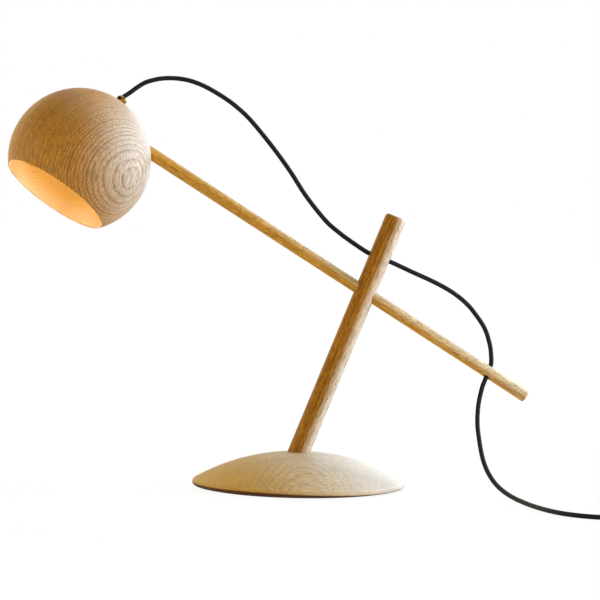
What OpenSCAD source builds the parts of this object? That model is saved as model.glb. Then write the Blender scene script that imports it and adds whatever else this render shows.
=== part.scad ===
// Table lamp in turned oak: a dome base, a leaning post, an arm that slides and turns in
// the post, a hollow ball shade on the arm and a cord threaded through post and arm.
// Millimetres. The origin is the middle of the felt's underside, +Z is up, the shade
// hangs on the -X side and +Y points away from the side the lamp is seen from.

/* [Base] */
// Diameter of the base
base_d = 251; // [230:1:290]
// Height of the dome at its centre, with the felt
dome_h = 42; // [39:0.5:50]
// Radius of the base's rounded edge
base_edge = 4; // [2:0.5:5]
// Thickness of the felt under the base
felt_t = 1.5; // [1:0.5:3]
// Diameter of the felt
felt_d = 228; // [200:1:228]
// Diameter of the steel weight
weight_d = 180; // [150:1:186]
// Thickness of the steel weight
weight_t = 10; // [6:0.5:12]
// Radius of the ring of weight screws
weight_screw_ring = 72; // [45:1:78]
// Number of weight screws
weight_screws_n = 3; // [3:1:6]
// Diameter of a weight screw's shank
weight_screw_d = 4; // [3:0.5:5]
// Length of a weight screw's thread in the wood
weight_screw_bite = 9; // [6:0.5:10]

/* [Post] */
// Diameter of the post
post_d = 25.5; // [24:0.5:32]
// Length of the post above the top of the dome
post_len = 300; // [280:1:330]
// Lean of the post from upright
post_lean = 21.5; // [10:0.5:28]
// Rounding of the post's top edge
post_edge = 4; // [1:0.5:4]
// Height of the arm on the post, along the post from the top of the dome
arm_height = 203.5; // [180:0.5:230]
// Distance of the cord hole above the arm, along the post
cord_hole_rise = 44.5; // [35:0.5:60]
// Diameter of the cord holes in the post and the arm
cord_hole_d = 8; // [7:0.5:9]
// Diameter of the bolt that holds the post
bolt_d = 6; // [5:0.5:8]
// Length of the threaded insert in the foot of the post
insert_len = 24; // [16:1:40]

/* [Arm] */
// Diameter of the arm
arm_d = 14.5; // [12:0.5:16]
// Slope of the arm below level, falling towards its free end
arm_slope = 32; // [24:0.1:38]
// Length of the arm from the post to its free end
arm_tail = 226.5; // [205:0.5:235]
// Distance of the arm's cord hole from the post
arm_hole_at = 173; // [150:0.5:185]
// Turn of the arm's cord hole about the arm, from the shade's axis
arm_hole_turn = 8; // [0:1:20]
// Lean of the arm's cord hole from square to the arm, towards upright
arm_hole_lean = 8.5; // [0:0.5:12]
// Rounding of the arm's free end
arm_edge = 2; // [1:0.5:3]
// Wall of the bush that the arm slides in
bush_wall = 0.8; // [0.6:0.1:1.5]
// Diameter of the pin that holds the arm in the shade
arm_pin_d = 3; // [2:0.5:4]
// Length of that pin
arm_pin_len = 24; // [20:1:28]

/* [Shade] */
// Outer diameter of the shade
shade_d = 167; // [164:1:190]
// Diameter of the hollow inside the shade
cavity_d = 160; // [152:1:161]
// Shift of the hollow towards the mouth, which thickens the crown
cavity_drop = 3.5; // [0:0.5:5]
// Distance of the mouth's plane below the shade's centre
mouth_drop = 51.5; // [45:0.5:60]
// Distance of the shade's axis from the post, along the arm
shade_reach = 365.5; // [345:0.5:390]
// Distance of the shade's centre below the arm
shade_drop = 53.5; // [48:0.5:56]
// Turn of the shade about the arm, mouth towards the viewer
shade_roll = 17; // [0:1:30]
// Lean of the shade's axis from square to the arm
shade_tilt = 1; // [0:0.5:3]

/* [Lampholder and bulb] */
// Outer diameter of the cord grip
grip_d = 13; // [12:0.5:15]
// Height of the cord grip
grip_h = 9.5; // [5:0.5:12]
// Outer diameter of the threaded tube through the crown
tube_d = 10; // [9:0.5:10]
// Bore of the threaded tube
tube_bore = 6.6; // [6:0.1:7]
// Diameter of the washer under the crown
washer_d = 22; // [18:1:26]
// Thickness of the washer under the crown
washer_t = 1.5; // [1:0.5:2.5]
// Width across the flats of the nut under the crown
nut_af = 14; // [13:0.5:17]
// Thickness of the nut under the crown
nut_t = 3.5; // [2.5:0.5:5]
// Diameter of the lampholder
holder_d = 39; // [37:0.5:43]
// Wall of the lampholder
holder_wall = 2; // [1.5:0.1:2.5]
// Height of the lampholder's cap
cap_h = 23; // [21:0.5:26]
// Height of the lampholder's body
body_h = 28; // [26:0.5:30]
// Thickness of the ceramic core
core_t = 10; // [8:0.5:12]
// Outer diameter of the bulb's screw cap
bulb_thread_d = 26.4; // [26:0.1:26.6]
// Diameter of the bulb's globe
globe_d = 42; // [42:0.5:48]
// Length of the bulb from its tip contact to the widest part of the globe
bulb_len = 52.5; // [52:0.5:58]

/* [Cord] */
// Diameter of the cord
cord_d = 5.5; // [5:0.1:6]
// Number of turns in the coil that puts the spare cord away
coil_turns = 4.5; // [3.5:1:6.5]
// Innermost radius of the coil, where its spiral turns back
coil_inner = 22.2; // [22:0.1:26]
// Free gap between neighbouring turns
coil_gap = 0.6; // [0.5:0.1:1]
// Thickness of the tie round the coil
tie_t = 0.6; // [0.4:0.1:1]
// Width of the tie
tie_w = 10; // [6:1:14]

/* [Cord switch] */
// Length of the switch body
switch_l = 62; // [58:1:72]
// Width of the switch body
switch_w = 26; // [25:0.5:32]
// Height of the switch body
switch_h = 18; // [17:0.5:22]
// Wall of the switch body
switch_wall = 2; // [1.6:0.1:2.4]
// Length of the rocker
rocker_l = 20; // [18:0.5:22]
// Width of the rocker
rocker_w = 10; // [8:0.5:11]
// Angle that the rocker tips to each side
rocker_tip = 7; // [5:0.5:8]
// Diameter of the rocker's pin
rocker_pin_d = 3; // [2:0.5:3]
// Length of the strain reliefs on the switch
switch_relief = 22; // [20:1:26]

/* [Plug] */
// Width of the plug at its face
plug_w = 35; // [33:0.5:38]
// Thickness of the plug
plug_t = 13.7; // [13:0.1:16]
// Length of the plug's body
plug_l = 35; // [32:0.5:40]
// Diameter of a plug pin
pin_d = 4; // [4:0.1:4.8]
// Length of a plug pin outside the plug
pin_l = 19; // [17:0.5:20]
// Distance between the plug pins
pin_pitch = 19; // [18:0.1:20]
// Length of the strain relief on the plug
plug_relief = 30; // [22:1:40]

/* [Hidden] */
$fn = 96;

// Clearances
run_gap = 0.05;
fit_gap = 0.05;
loose_gap = 0.3;
cut = 1;

// Colours
oak = [0.79, 0.62, 0.40];
oak_dark = [0.66, 0.46, 0.25];
charcoal = [0.13, 0.13, 0.15];
black_plastic = [0.08, 0.08, 0.09];
steel = [0.62, 0.63, 0.65];
gold_brass = [0.78, 0.58, 0.22];
white_plastic = [0.90, 0.90, 0.88];
opal = [1.00, 0.86, 0.62];

// Base: the dome's arc touches the round edge without a step
rim_z = felt_t + base_edge;
edge_x = base_d / 2 - base_edge;
dome_rise = dome_h - rim_z;
dome_r = (edge_x * edge_x + dome_rise * dome_rise - base_edge * base_edge) / (2 * (dome_rise - base_edge));
dome_z = dome_h - dome_r;
dome_end_x = dome_r * edge_x / (dome_r - base_edge);
weight_top = felt_t + weight_t;
weight_hole_d = 46;
screw_head_d = 2 * weight_screw_d;
screw_head_t = weight_screw_d / 2;

// Post: places along its axis from the top of the dome, up is positive
bolt_head_t = 0.65 * bolt_d;
bolt_head_d = 1.9 * bolt_d;
bolt_washer_d = 3 * bolt_d;
bolt_washer_t = 1.6;
bolt_seat_r = bolt_washer_d / 2 + 0.5;
bolt_seat_z = weight_top + bolt_seat_r * sin(post_lean) + 1;
bolt_seat = -(dome_h - bolt_seat_z) / cos(post_lean);
socket_web = 7;
socket = bolt_seat + socket_web;
insert_d = bolt_d + 4;
bolt_end = socket + insert_len - 2;

// Arm: places along its axis from the crossing with the post
crossing = [arm_height * sin(post_lean), 0, dome_h + arm_height * cos(post_lean)];
bush_in_r = arm_d / 2 + run_gap;
bush_out_r = bush_in_r + bush_wall;
post_bore_r = bush_out_r + run_gap;
bore_lean = arm_slope - post_lean;
bush_len = 2 * (sqrt(pow(post_d / 2, 2) - pow(post_bore_r, 2)) - post_bore_r * tan(abs(bore_lean)));
rib_h = 0.4;
rib_w = 2;

// Shade: heights along its axis from its centre
shade_r = shade_d / 2;
cavity_r = cavity_d / 2;
grip_seat_r = grip_d / 2 + 0.3;
grip_seat = sqrt(shade_r * shade_r - grip_seat_r * grip_seat_r);
grip_top = grip_seat + grip_h;
grip_collar = 2;
grip_edge = 1.2;
crown_seat = cavity_r - cavity_drop;
cavity_x = sqrt(cavity_r * cavity_r - pow(shade_drop + arm_d / 2 + cavity_drop, 2));
pin_x = sqrt(pow(cavity_r - 0.5, 2) - pow(shade_drop + arm_pin_d / 2 + cavity_drop, 2)
    - pow(arm_pin_len / 2, 2)) - arm_pin_d / 2;
arm_inner = min(cavity_x, pin_x - arm_pin_d / 2 - 3);
arm_start = -shade_reach + arm_inner;

// Lampholder and bulb: heights along the shade's axis
holder_top = crown_seat - washer_t - nut_t;
cap_z = holder_top - cap_h;
cap_neck_r = tube_d / 2 + 5;
cap_neck_h = 3;
cap_shoulder = 14;
cap_bend = 9;
cap_slope = 4;
tube_low = holder_top - 8;
tube_top = grip_top - grip_collar - fit_gap;
core_low = cap_z - core_t / 2 + 1;
core_top = core_low + core_t;
body_low = cap_z - body_h;
sleeve_t = 0.6;
sleeve_bore_r = bulb_thread_d / 2 + loose_gap;
sleeve_r = sleeve_bore_r + sleeve_t;
sleeve_low = body_low + 2;
contact_t = 2;
contact_r = 4;
contact_cap_t = 1;
contact_cap_r = 5;
tip_z = core_low - contact_t;
thread_n = 5;
thread_h = 17;
thread_depth = 0.8;
bulb_neck_z = tip_z - 24;
globe_z = tip_z - bulb_len;
globe_wall = 1.2;
bulb_wall = 3;
board_t = 1.6;
chips = 8;
chip_ring = 12;
chip = [3, 3, 0.8];
neck_r = bulb_thread_d / 2 - thread_depth - fit_gap;

// Cord switch, in its own frame
switch_axis = switch_h / 2;
switch_corner = 6;
case_screw_d = 2.8;
case_screw_x = switch_l / 2 - 12;
boss_r = 3;
boss_sunk = 0.6;
pivot_z = switch_h - 4;
ear_t = 2.5;
ear_l = 8;
ear_z = pivot_z - rocker_pin_d / 2 - 1.5;
pin_hole_len = switch_w - 2 * switch_wall - cut;
rocker_low = 3;
rocker_edge = 5.2;
rocker_dip = 4.2;
contact_x = 8;
contact_plate = [6, 8, 1];
contact_post = [2, 4, 5];

// Plug, in its own frame
plug_axis = plug_t / 2;
plug_face = plug_relief + plug_l;
plug_head = 10;
plug_neck_w = 15;
pin_seat = 9;

// Cord and the places of what is on it
cord_r = cord_d / 2;
cord_sides = 8;
coil_sides = 6;
coil_rings = 24;
lead_step = 16;
switch_pos = [432, -130];
relief_root_r = cord_r + 2.2;
relief_tip_r = cord_r + 0.6;
relief_root = 4;
link_len = 34;
tail_len = 40;
coil_pitch = cord_d + coil_gap;
coil_back = coil_turns / 2;
coil_outer = coil_inner + coil_pitch * coil_back;
coil_low = tie_t + loose_gap + cord_r;
coil_high = coil_low + coil_pitch;
switch_out = switch_pos[1] + switch_l / 2 + switch_relief;
coil_mid = [switch_pos[0] - coil_outer, switch_out + link_len + cord_d];
plug_x = coil_mid[0] - coil_outer;
plug_tip = coil_mid[1] - cord_d - tail_len;

// Directions in the lamp's frame
post_dir = [sin(post_lean), 0, cos(post_lean)];
hole_dir = [cos(post_lean), 0, -sin(post_lean)];
arm_dir = [cos(arm_slope), 0, -sin(arm_slope)];
function arm_up(turn) = [sin(arm_slope) * cos(turn), sin(turn), cos(arm_slope) * cos(turn)];
shade_up = arm_up(shade_roll) * cos(shade_tilt) + arm_dir * sin(shade_tilt);
shade_pos = crossing - arm_dir * shade_reach - arm_up(shade_roll) * shade_drop;
grip_exit = shade_pos + shade_up * grip_top;
post_hole = [0, 0, dome_h] + post_dir * (arm_height + cord_hole_rise);
arm_hole = crossing + arm_dir * arm_hole_at;
arm_hole_up = arm_up(shade_roll + arm_hole_turn) * cos(arm_hole_lean) - arm_dir * sin(arm_hole_lean);

// Route of the cord where it hangs and lies free, chosen by hand
upper_route = [
    [-207, 14, 461.5], [-200, 16, 467], [-192, 17.5, 472.5], [-184, 19, 476], [-172, 21, 479],
    [-159, 22, 480], [-145, 22, 479], [-132, 22, 476], [-115, 21, 469], [-92, 19, 455.5],
    [-74, 17, 441.5], [-60, 15, 427.5], [-37, 11, 400], [-16, 8, 372], [3, 5, 343.5],
    [26, 3, 315.5], [41.5, 2, 302], [56, 1, 291.5]
];
middle_route = [
    [129, 1, 256.5], [152, 3, 246.5], [170, 5, 237.5], [183.5, 7, 229], [195, 8, 219.5],
    [204, 9, 209.5], [216.5, 9, 191.5], [223, 8, 173], [225, 6, 158.5]
];
lower_route = [
    [214, -9, 122], [209.5, -17, 102.5], [208, -27, 82], [209.5, -38, 64], [212.5, -51, 45.5],
    [216.5, -64, 32.5], [222.5, -78, 21.5], [230.5, -95, 13], [242, -120, 6.5], [257, -159, 3],
    [271.5, -207, 3], [286.5, -237, 3], [304, -256, 3], [324.5, -267, 3], [346, -269, 3],
    [368, -264, 3], [388, -253, 3], [406, -237, 3], [420, -218, 4], [429, -201, 7]
];

// Ends of each stretch, square to what they meet
post_mouth = hole_dir * (post_d / 2 + cord_r);
arm_mouth = arm_hole_up * (arm_d / 2 + cord_r);
away = [0, 1, 0];
straight = away * cord_d;
switch_in = [switch_pos[0], switch_pos[1] - switch_l / 2 - switch_relief, switch_axis];
link_in = [switch_pos[0], switch_out, switch_axis];
coil_in = [switch_pos[0], coil_mid[1] - cord_d, coil_low];
coil_out = [plug_x, coil_mid[1] - cord_d, coil_high];
tail_out = [plug_x, plug_tip, plug_axis];
upper_points = concat(
    [grip_exit, grip_exit + shade_up * cord_r / 2], upper_route, [post_hole - post_mouth, post_hole]
);
middle_points = concat(
    [post_hole, post_hole + post_mouth], middle_route,
    [arm_hole + arm_mouth, arm_hole + arm_hole_up * fit_gap]
);
lower_points = concat(
    [arm_hole, arm_hole - arm_mouth], lower_route, [switch_in - straight, switch_in]
);
link_points = [link_in, link_in + straight, coil_in - straight, coil_in];
tail_points = [coil_out, coil_out - straight, tail_out + straight, tail_out];

// Curves and tubes
function unit(v) = v / norm(v);
function lerp_curve(a, b, c, d, t) =
    0.5 * (2 * b + (c - a) * t + (2 * a - 5 * b + 4 * c - d) * t * t + (3 * b - a - 3 * c + d) * t * t * t);
function curve(p) = concat([
    for (i = [0:len(p) - 2])
        let (last = len(p) - 1, n = max(1, round(norm(p[i + 1] - p[i]) / lead_step)))
            for (k = [0:n - 1])
                lerp_curve(p[max(i - 1, 0)], p[i], p[i + 1], p[min(i + 2, last)], k / n)
], [p[len(p) - 1]]);
function tangents(p, first, last) = concat([first], [
    for (i = [1:len(p) - 2])
        unit(p[i + 1] - p[i - 1])
], [last]);
function normals(t, n, i = 0) =
    i == len(t) ? [] :
    let (m = unit(n - (n * t[i]) * t[i]))
    concat([m], normals(t, m, i + 1));
function ring(p, t, n, r, sides) = [
    for (j = [0:sides - 1])
        p + r * (cos(360 * j / sides) * n + sin(360 * j / sides) * cross(t, n))
];
function coil_z(turn) =
    let (s = min(max((turn - coil_back) * 2 + 0.5, 0), 1))
    coil_low + coil_pitch * (3 * s * s - 2 * s * s * s);
function coil_point(turn) =
    let (r = coil_inner + coil_pitch * abs(turn - coil_back))
    [coil_mid[0] + r * cos(360 * turn), coil_mid[1] + r * sin(360 * turn), coil_z(turn)];
coil_points = concat([coil_in], [
    for (k = [0:coil_turns * coil_rings])
        coil_point(k / coil_rings)
], [coil_out]);
function self_gap(p, apart) = min([
    for (i = [0:len(p) - 1])
        for (j = [i + apart:1:len(p) - 1])
            norm(p[i] - p[j])
]) - cord_d;
function path_len(p, i = 1) = i == len(p) ? 0 : norm(p[i] - p[i - 1]) + path_len(p, i + 1);
upper_path = curve(upper_points);
middle_path = curve(middle_points);
lower_path = curve(lower_points);
link_path = curve(link_points);
tail_path = curve(tail_points);
echo(coil_gap_to_itself = self_gap(coil_points, coil_rings / 2));
echo(lead_lengths = [
    for (p = [upper_path, middle_path, lower_path, link_path, coil_points, tail_path])
        path_len(p)
]);

// Sweeps a closed tube along points, its ends square to the two directions
module tube(p, first, last, sides) {
    t = tangents(p, first, last);
    n = normals(t, abs(t[0][1]) < 0.9 ? [0, 1, 0] : [1, 0, 0]);
    m = len(p);
    skin = [
        for (i = [0:m - 1])
            for (v = ring(p[i], t[i], n[i], cord_r, sides))
                v
    ];
    walls = [
        for (i = [0:m - 2])
            for (j = [0:sides - 1])
                let (a = i * sides + j, b = i * sides + (j + 1) % sides)
                    for (f = [[a, a + sides, b], [b, a + sides, b + sides]])
                        f
    ];
    ends = [
        for (j = [1:sides - 2])
            for (f = [[0, j, j + 1], [(m - 1) * sides, (m - 1) * sides + j + 1, (m - 1) * sides + j]])
                f
    ];
    polyhedron(skin, concat(walls, ends), convexity = 8);
}

// Frames of the leaning and sloping pieces
module on_post() {
    translate([0, 0, dome_h])
        rotate([0, post_lean, 0])
            children();
}

module on_arm() {
    translate(crossing)
        rotate([0, arm_slope, 0])
            rotate([-shade_roll, 0, 0])
                children();
}

module in_shade() {
    translate([-shade_reach, 0, -shade_drop])
        rotate([0, shade_tilt, 0])
            children();
}

module on_shade() {
    on_arm()
        in_shade()
            children();
}

module on_switch() {
    translate([switch_pos[0], switch_pos[1], 0])
        rotate([0, 0, 90])
            children();
}

module on_plug() {
    translate([plug_x, plug_tip, plug_axis])
        rotate([0, 0, -90])
            children();
}

// Round bar along +X between two places
module bar(x0, x1, d) {
    translate([x0, 0, 0])
        rotate([0, 90, 0])
            cylinder(h = x1 - x0, d = d);
}

// Outline of a dowel, turned about its axis, with a round edge at its top
module dowel(d, len, edge) {
    rotate_extrude() {
        square([d / 2, len - edge]);
        square([d / 2 - edge, len]);
        translate([d / 2 - edge, len - edge])
            circle(r = edge);
    }
}

module hex(af, h) {
    cylinder(h = h, d = af / cos(30), $fn = 6);
}

module weight_screw_places() {
    for (i = [0:weight_screws_n - 1])
        rotate([0, 0, 60 + 360 * i / weight_screws_n])
            translate([weight_screw_ring, 0, felt_t])
                children();
}

module weight_screw(gap) {
    cylinder(h = weight_t + weight_screw_bite, d = weight_screw_d + 2 * gap);
    cylinder(h = screw_head_t + gap, d1 = screw_head_d + 2 * gap, d2 = weight_screw_d + 2 * gap);
}

// Base
module base_felt() {
    color("dimgray")
        cylinder(h = felt_t, d = felt_d);
}

module base_weight() {
    color(steel)
        difference() {
            translate([0, 0, felt_t])
                cylinder(h = weight_t, d = weight_d);
            translate([0, 0, felt_t - cut])
                cylinder(h = weight_t + 2 * cut, d = weight_hole_d);
            weight_screw_places()
                weight_screw(fit_gap);
        }
}

module weight_screws() {
    color(steel)
        weight_screw_places()
            weight_screw(0);
}

module base_profile() {
    intersection() {
        translate([0, dome_z])
            circle(r = dome_r);
        translate([0, rim_z])
            square([dome_end_x, dome_h]);
    }
    translate([0, felt_t])
        square([edge_x, base_edge]);
    translate([edge_x, rim_z])
        circle(r = base_edge);
}

module base_dome() {
    color(oak)
        difference() {
            rotate_extrude()
                base_profile();
            translate([0, 0, felt_t - cut])
                cylinder(h = weight_t + cut, d = weight_d + 2 * fit_gap);
            weight_screw_places()
                cylinder(h = weight_t + weight_screw_bite, d = weight_screw_d + 2 * fit_gap);
            on_post() {
                translate([0, 0, socket])
                    cylinder(h = dome_h, d = post_d + 2 * fit_gap);
                translate([0, 0, bolt_seat - cut])
                    cylinder(h = socket_web + 2 * cut, d = bolt_d + 2 * fit_gap);
                translate([0, 0, bolt_seat - dome_h])
                    cylinder(h = dome_h, r = bolt_seat_r);
            }
        }
}

// Post
module post() {
    color(oak_dark)
        on_post()
            difference() {
                translate([0, 0, socket])
                    dowel(post_d, post_len - socket, post_edge);
                translate([0, 0, arm_height])
                    rotate([0, bore_lean, 0]) {
                        bar(-post_d, post_d, 2 * post_bore_r);
                        bar(-rib_w / 2 - run_gap, rib_w / 2 + run_gap, 2 * (post_bore_r + rib_h));
                    }
                translate([0, 0, arm_height + cord_hole_rise])
                    bar(-post_d, post_d, cord_hole_d);
                translate([0, 0, socket - cut])
                    cylinder(h = insert_len + cut, d = insert_d + 2 * fit_gap);
            }
}

module post_insert() {
    color(gold_brass)
        on_post()
            translate([0, 0, socket])
                difference() {
                    cylinder(h = insert_len, d = insert_d);
                    translate([0, 0, -cut])
                        cylinder(h = insert_len + 2 * cut, d = bolt_d + 2 * fit_gap);
                }
}

module post_washer() {
    color(steel)
        on_post()
            translate([0, 0, bolt_seat - bolt_washer_t])
                difference() {
                    cylinder(h = bolt_washer_t, d = bolt_washer_d);
                    translate([0, 0, -cut])
                        cylinder(h = bolt_washer_t + 2 * cut, d = bolt_d + 2 * fit_gap);
                }
}

module post_bolt() {
    color(steel)
        on_post()
            translate([0, 0, bolt_seat - bolt_washer_t - bolt_head_t]) {
                hex(bolt_head_d * cos(30), bolt_head_t);
                cylinder(h = bolt_end - bolt_seat + bolt_washer_t + bolt_head_t, d = bolt_d);
            }
}

// Arm
module arm_bush() {
    color("dimgray")
        on_arm()
            difference() {
                union() {
                    bar(-bush_len / 2, bush_len / 2, 2 * bush_out_r);
                    bar(-rib_w / 2, rib_w / 2, 2 * (bush_out_r + rib_h));
                }
                bar(-bush_len / 2 - cut, bush_len / 2 + cut, 2 * bush_in_r);
            }
}

module arm() {
    color(oak)
        on_arm()
            difference() {
                translate([arm_start, 0, 0])
                    rotate([0, 90, 0])
                        dowel(arm_d, arm_tail - arm_start, arm_edge);
                translate([arm_hole_at, 0, 0])
                    rotate([-arm_hole_turn, 0, 0])
                        rotate([0, -arm_hole_lean, 0])
                            cylinder(h = 2 * arm_d, d = cord_hole_d, center = true);
                translate([-shade_reach + pin_x, 0, 0])
                    rotate([90, 0, 0])
                        cylinder(h = 2 * arm_d, d = arm_pin_d + 2 * fit_gap, center = true);
            }
}

module arm_pin() {
    color(steel)
        on_arm()
            translate([-shade_reach + pin_x, 0, 0])
                rotate([90, 0, 0])
                    cylinder(h = arm_pin_len, d = arm_pin_d, center = true);
}

// Shade
module shade_profile() {
    difference() {
        intersection() {
            circle(r = shade_r);
            translate([0, -mouth_drop])
                square([shade_r, mouth_drop + grip_seat]);
        }
        translate([0, -cavity_drop])
            circle(r = cavity_r);
        translate([0, crown_seat - washer_t])
            square([washer_d / 2 + 1, washer_t]);
        square([tube_d / 2 + fit_gap, shade_r]);
    }
}

module shade() {
    color(oak)
        on_arm()
            difference() {
                in_shade()
                    rotate_extrude()
                        shade_profile();
                bar(-shade_reach, -shade_reach + shade_d, arm_d + 2 * fit_gap);
            }
}

// Crown fittings
module cord_grip() {
    color(gold_brass)
        on_shade()
            difference() {
                translate([0, 0, grip_seat])
                    dowel(grip_d, grip_h, grip_edge);
                translate([0, 0, grip_seat - cut])
                    cylinder(h = grip_h - grip_collar + cut, d = tube_d + 2 * fit_gap);
                translate([0, 0, grip_seat])
                    cylinder(h = grip_h + cut, d = cord_d + 2 * fit_gap);
            }
}

module crown_tube() {
    color(steel)
        on_shade()
            difference() {
                translate([0, 0, tube_low])
                    cylinder(h = tube_top - tube_low, d = tube_d);
                translate([0, 0, tube_low - cut])
                    cylinder(h = tube_top - tube_low + 2 * cut, d = tube_bore);
            }
}

module crown_washer() {
    color(steel)
        on_shade()
            translate([0, 0, crown_seat - washer_t])
                difference() {
                    cylinder(h = washer_t, d = washer_d);
                    translate([0, 0, -cut])
                        cylinder(h = washer_t + 2 * cut, d = tube_d + 2 * fit_gap);
                }
}

module crown_nut() {
    color(gold_brass)
        on_shade()
            translate([0, 0, holder_top])
                difference() {
                    hex(nut_af, nut_t);
                    translate([0, 0, -cut])
                        cylinder(h = nut_t + 2 * cut, d = tube_d + 2 * fit_gap);
                }
}

// Lampholder
module cap_outline(wall) {
    r = holder_d / 2 - wall;
    neck = cap_neck_r - wall;
    foot = wall == 0 ? 0 : -cut;
    top = cap_h - wall * 3;
    polygon([
        [0, foot], [r, foot], [r, cap_h - cap_shoulder],
        [r - cap_slope, cap_h - cap_bend - wall], [neck, top - cap_neck_h], [neck, top], [0, top]
    ]);
}

module holder_cap() {
    color(black_plastic)
        on_shade()
            translate([0, 0, cap_z])
                rotate_extrude()
                    difference() {
                        cap_outline(0);
                        cap_outline(holder_wall);
                        square([tube_d / 2 + fit_gap, cap_h + cut]);
                    }
}

module holder_core() {
    color("white")
        on_shade()
            translate([0, 0, core_low])
                cylinder(h = core_t, r = holder_d / 2 - holder_wall - fit_gap);
}

module holder_sleeve() {
    color(gold_brass)
        on_shade()
            translate([0, 0, sleeve_low])
                difference() {
                    cylinder(h = core_low - sleeve_low, r = sleeve_r);
                    translate([0, 0, -cut])
                        cylinder(h = core_low - sleeve_low + 2 * cut, r = sleeve_bore_r);
                }
}

module holder_contact() {
    color(gold_brass)
        on_shade()
            translate([0, 0, tip_z])
                cylinder(h = contact_t, r = contact_r);
}

module holder_body() {
    color(black_plastic)
        on_shade()
            difference() {
                translate([0, 0, body_low])
                    cylinder(h = body_h, d = holder_d);
                translate([0, 0, body_low - cut])
                    cylinder(h = body_h, r = sleeve_bore_r);
                translate([0, 0, sleeve_low])
                    cylinder(h = body_h, r = sleeve_r + fit_gap);
                translate([0, 0, core_low])
                    cylinder(h = body_h, r = holder_d / 2 - holder_wall);
            }
}

// Bulb
module bulb_cap() {
    pitch = thread_h / thread_n;
    r = bulb_thread_d / 2;
    low = bulb_neck_z;
    color(gold_brass)
        on_shade()
            difference() {
                union() {
                    translate([0, 0, low])
                        cylinder(h = thread_h, r = r - thread_depth);
                    for (i = [0:thread_n - 1])
                        translate([0, 0, low + i * pitch]) {
                            cylinder(h = pitch / 2, r1 = r - thread_depth, r2 = r);
                            translate([0, 0, pitch / 2])
                                cylinder(h = pitch / 2, r1 = r, r2 = r - thread_depth);
                        }
                    translate([0, 0, low + thread_h])
                        cylinder(h = tip_z - contact_cap_t - low - thread_h, r1 = r - thread_depth,
                            r2 = contact_cap_r);
                    translate([0, 0, tip_z - contact_cap_t])
                        cylinder(h = contact_cap_t, r = contact_cap_r);
                }
                translate([0, 0, low - cut])
                    cylinder(h = thread_h + cut, r = r - thread_depth - 1);
            }
}

module bulb_body() {
    h = bulb_neck_z - globe_z;
    color(white_plastic)
        on_shade()
            translate([0, 0, globe_z])
                difference() {
                    cylinder(h = h, d1 = globe_d, r2 = bulb_thread_d / 2);
                    translate([0, 0, bulb_wall])
                        cylinder(h = h, r1 = globe_d / 2 - bulb_wall, r2 = neck_r - bulb_wall);
                    translate([0, 0, -cut])
                        cylinder(h = bulb_wall + 2 * cut, r = globe_d / 2 - bulb_wall - cut);
                }
}

module bulb_board() {
    color(white_plastic)
        on_shade()
            translate([0, 0, globe_z - board_t]) {
                cylinder(h = board_t, d = globe_d - 2 * globe_wall - 2 * loose_gap);
                for (i = [0:chips - 1])
                    rotate([0, 0, 360 * i / chips])
                        translate([chip_ring, 0, -chip[2] / 2])
                            cube(chip, center = true);
            }
}

module bulb_globe() {
    r = globe_d / 2;
    color(opal)
        on_shade()
            translate([0, 0, globe_z])
                rotate_extrude()
                    difference() {
                        intersection() {
                            circle(r = r);
                            translate([0, -r])
                                square([r, r]);
                        }
                        circle(r = r - globe_wall);
                    }
}

// Cord
module lead_inner() {
    color(charcoal)
        on_shade()
            translate([0, 0, core_top])
                cylinder(h = grip_top - core_top, d = cord_d);
}

module lead_upper() {
    color(charcoal)
        tube(upper_path, shade_up, hole_dir, cord_sides);
}

module lead_middle() {
    color(charcoal)
        tube(middle_path, hole_dir, -arm_hole_up, cord_sides);
}

module lead_lower() {
    color(charcoal)
        tube(lower_path, -arm_hole_up, away, cord_sides);
}

module lead_link() {
    color(charcoal)
        tube(link_path, away, away, cord_sides);
}

module lead_coil() {
    color(charcoal)
        tube(coil_points, away, -away, coil_sides);
}

module lead_tail() {
    color(charcoal)
        tube(tail_path, -away, -away, cord_sides);
}

module coil_tie() {
    bow = tie_w * tie_w / (8 * coil_inner);
    inner_w = coil_pitch + cord_d + 2 * (loose_gap + bow);
    inner_h = coil_pitch + cord_d + 2 * loose_gap;
    color("black")
        translate([coil_mid[0], coil_mid[1] - coil_inner - coil_pitch, (coil_low + coil_high) / 2])
            rotate([0, 90, 0])
                linear_extrude(height = tie_w, center = true)
                    difference() {
                        square([inner_h + 2 * tie_t, inner_w + 2 * tie_t], center = true);
                        square([inner_h, inner_w], center = true);
                    }
}

// Cord switch
module round_slab(l, w, h, r) {
    linear_extrude(height = h) {
        square([l - 2 * r, w], center = true);
        square([l, w - 2 * r], center = true);
        for (x = [-1, 1], y = [-1, 1])
            translate([x * (l / 2 - r), y * (w / 2 - r)])
                circle(r = r);
    }
}

module switch_shell_void() {
    round_slab(switch_l - 2 * switch_wall, switch_w - 2 * switch_wall, switch_h,
        switch_corner - switch_wall);
}

module relief_slots(gap) {
    for (s = [-1, 1])
        translate([s * (switch_l / 2 - relief_root / 2), 0, switch_axis])
            rotate([0, 90, 0])
                cylinder(h = relief_root + 2 * cut, r = relief_root_r + gap, center = true);
}

module case_screw_places() {
    for (s = [-1, 1])
        translate([s * case_screw_x, switch_w / 2 - switch_wall - boss_r + boss_sunk, 0])
            children();
}

module switch_base() {
    color(black_plastic)
        on_switch()
            difference() {
                union() {
                    difference() {
                        round_slab(switch_l, switch_w, switch_axis, switch_corner);
                        translate([0, 0, switch_wall])
                            switch_shell_void();
                    }
                    case_screw_places()
                        cylinder(h = switch_axis, r = boss_r);
                }
                relief_slots(fit_gap);
                case_screw_places() {
                    translate([0, 0, -cut])
                        cylinder(h = switch_h, d = case_screw_d + 2 * fit_gap);
                    translate([0, 0, -cut])
                        cylinder(h = switch_wall / 2 + cut, d = 2 * case_screw_d);
                }
            }
}

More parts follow.
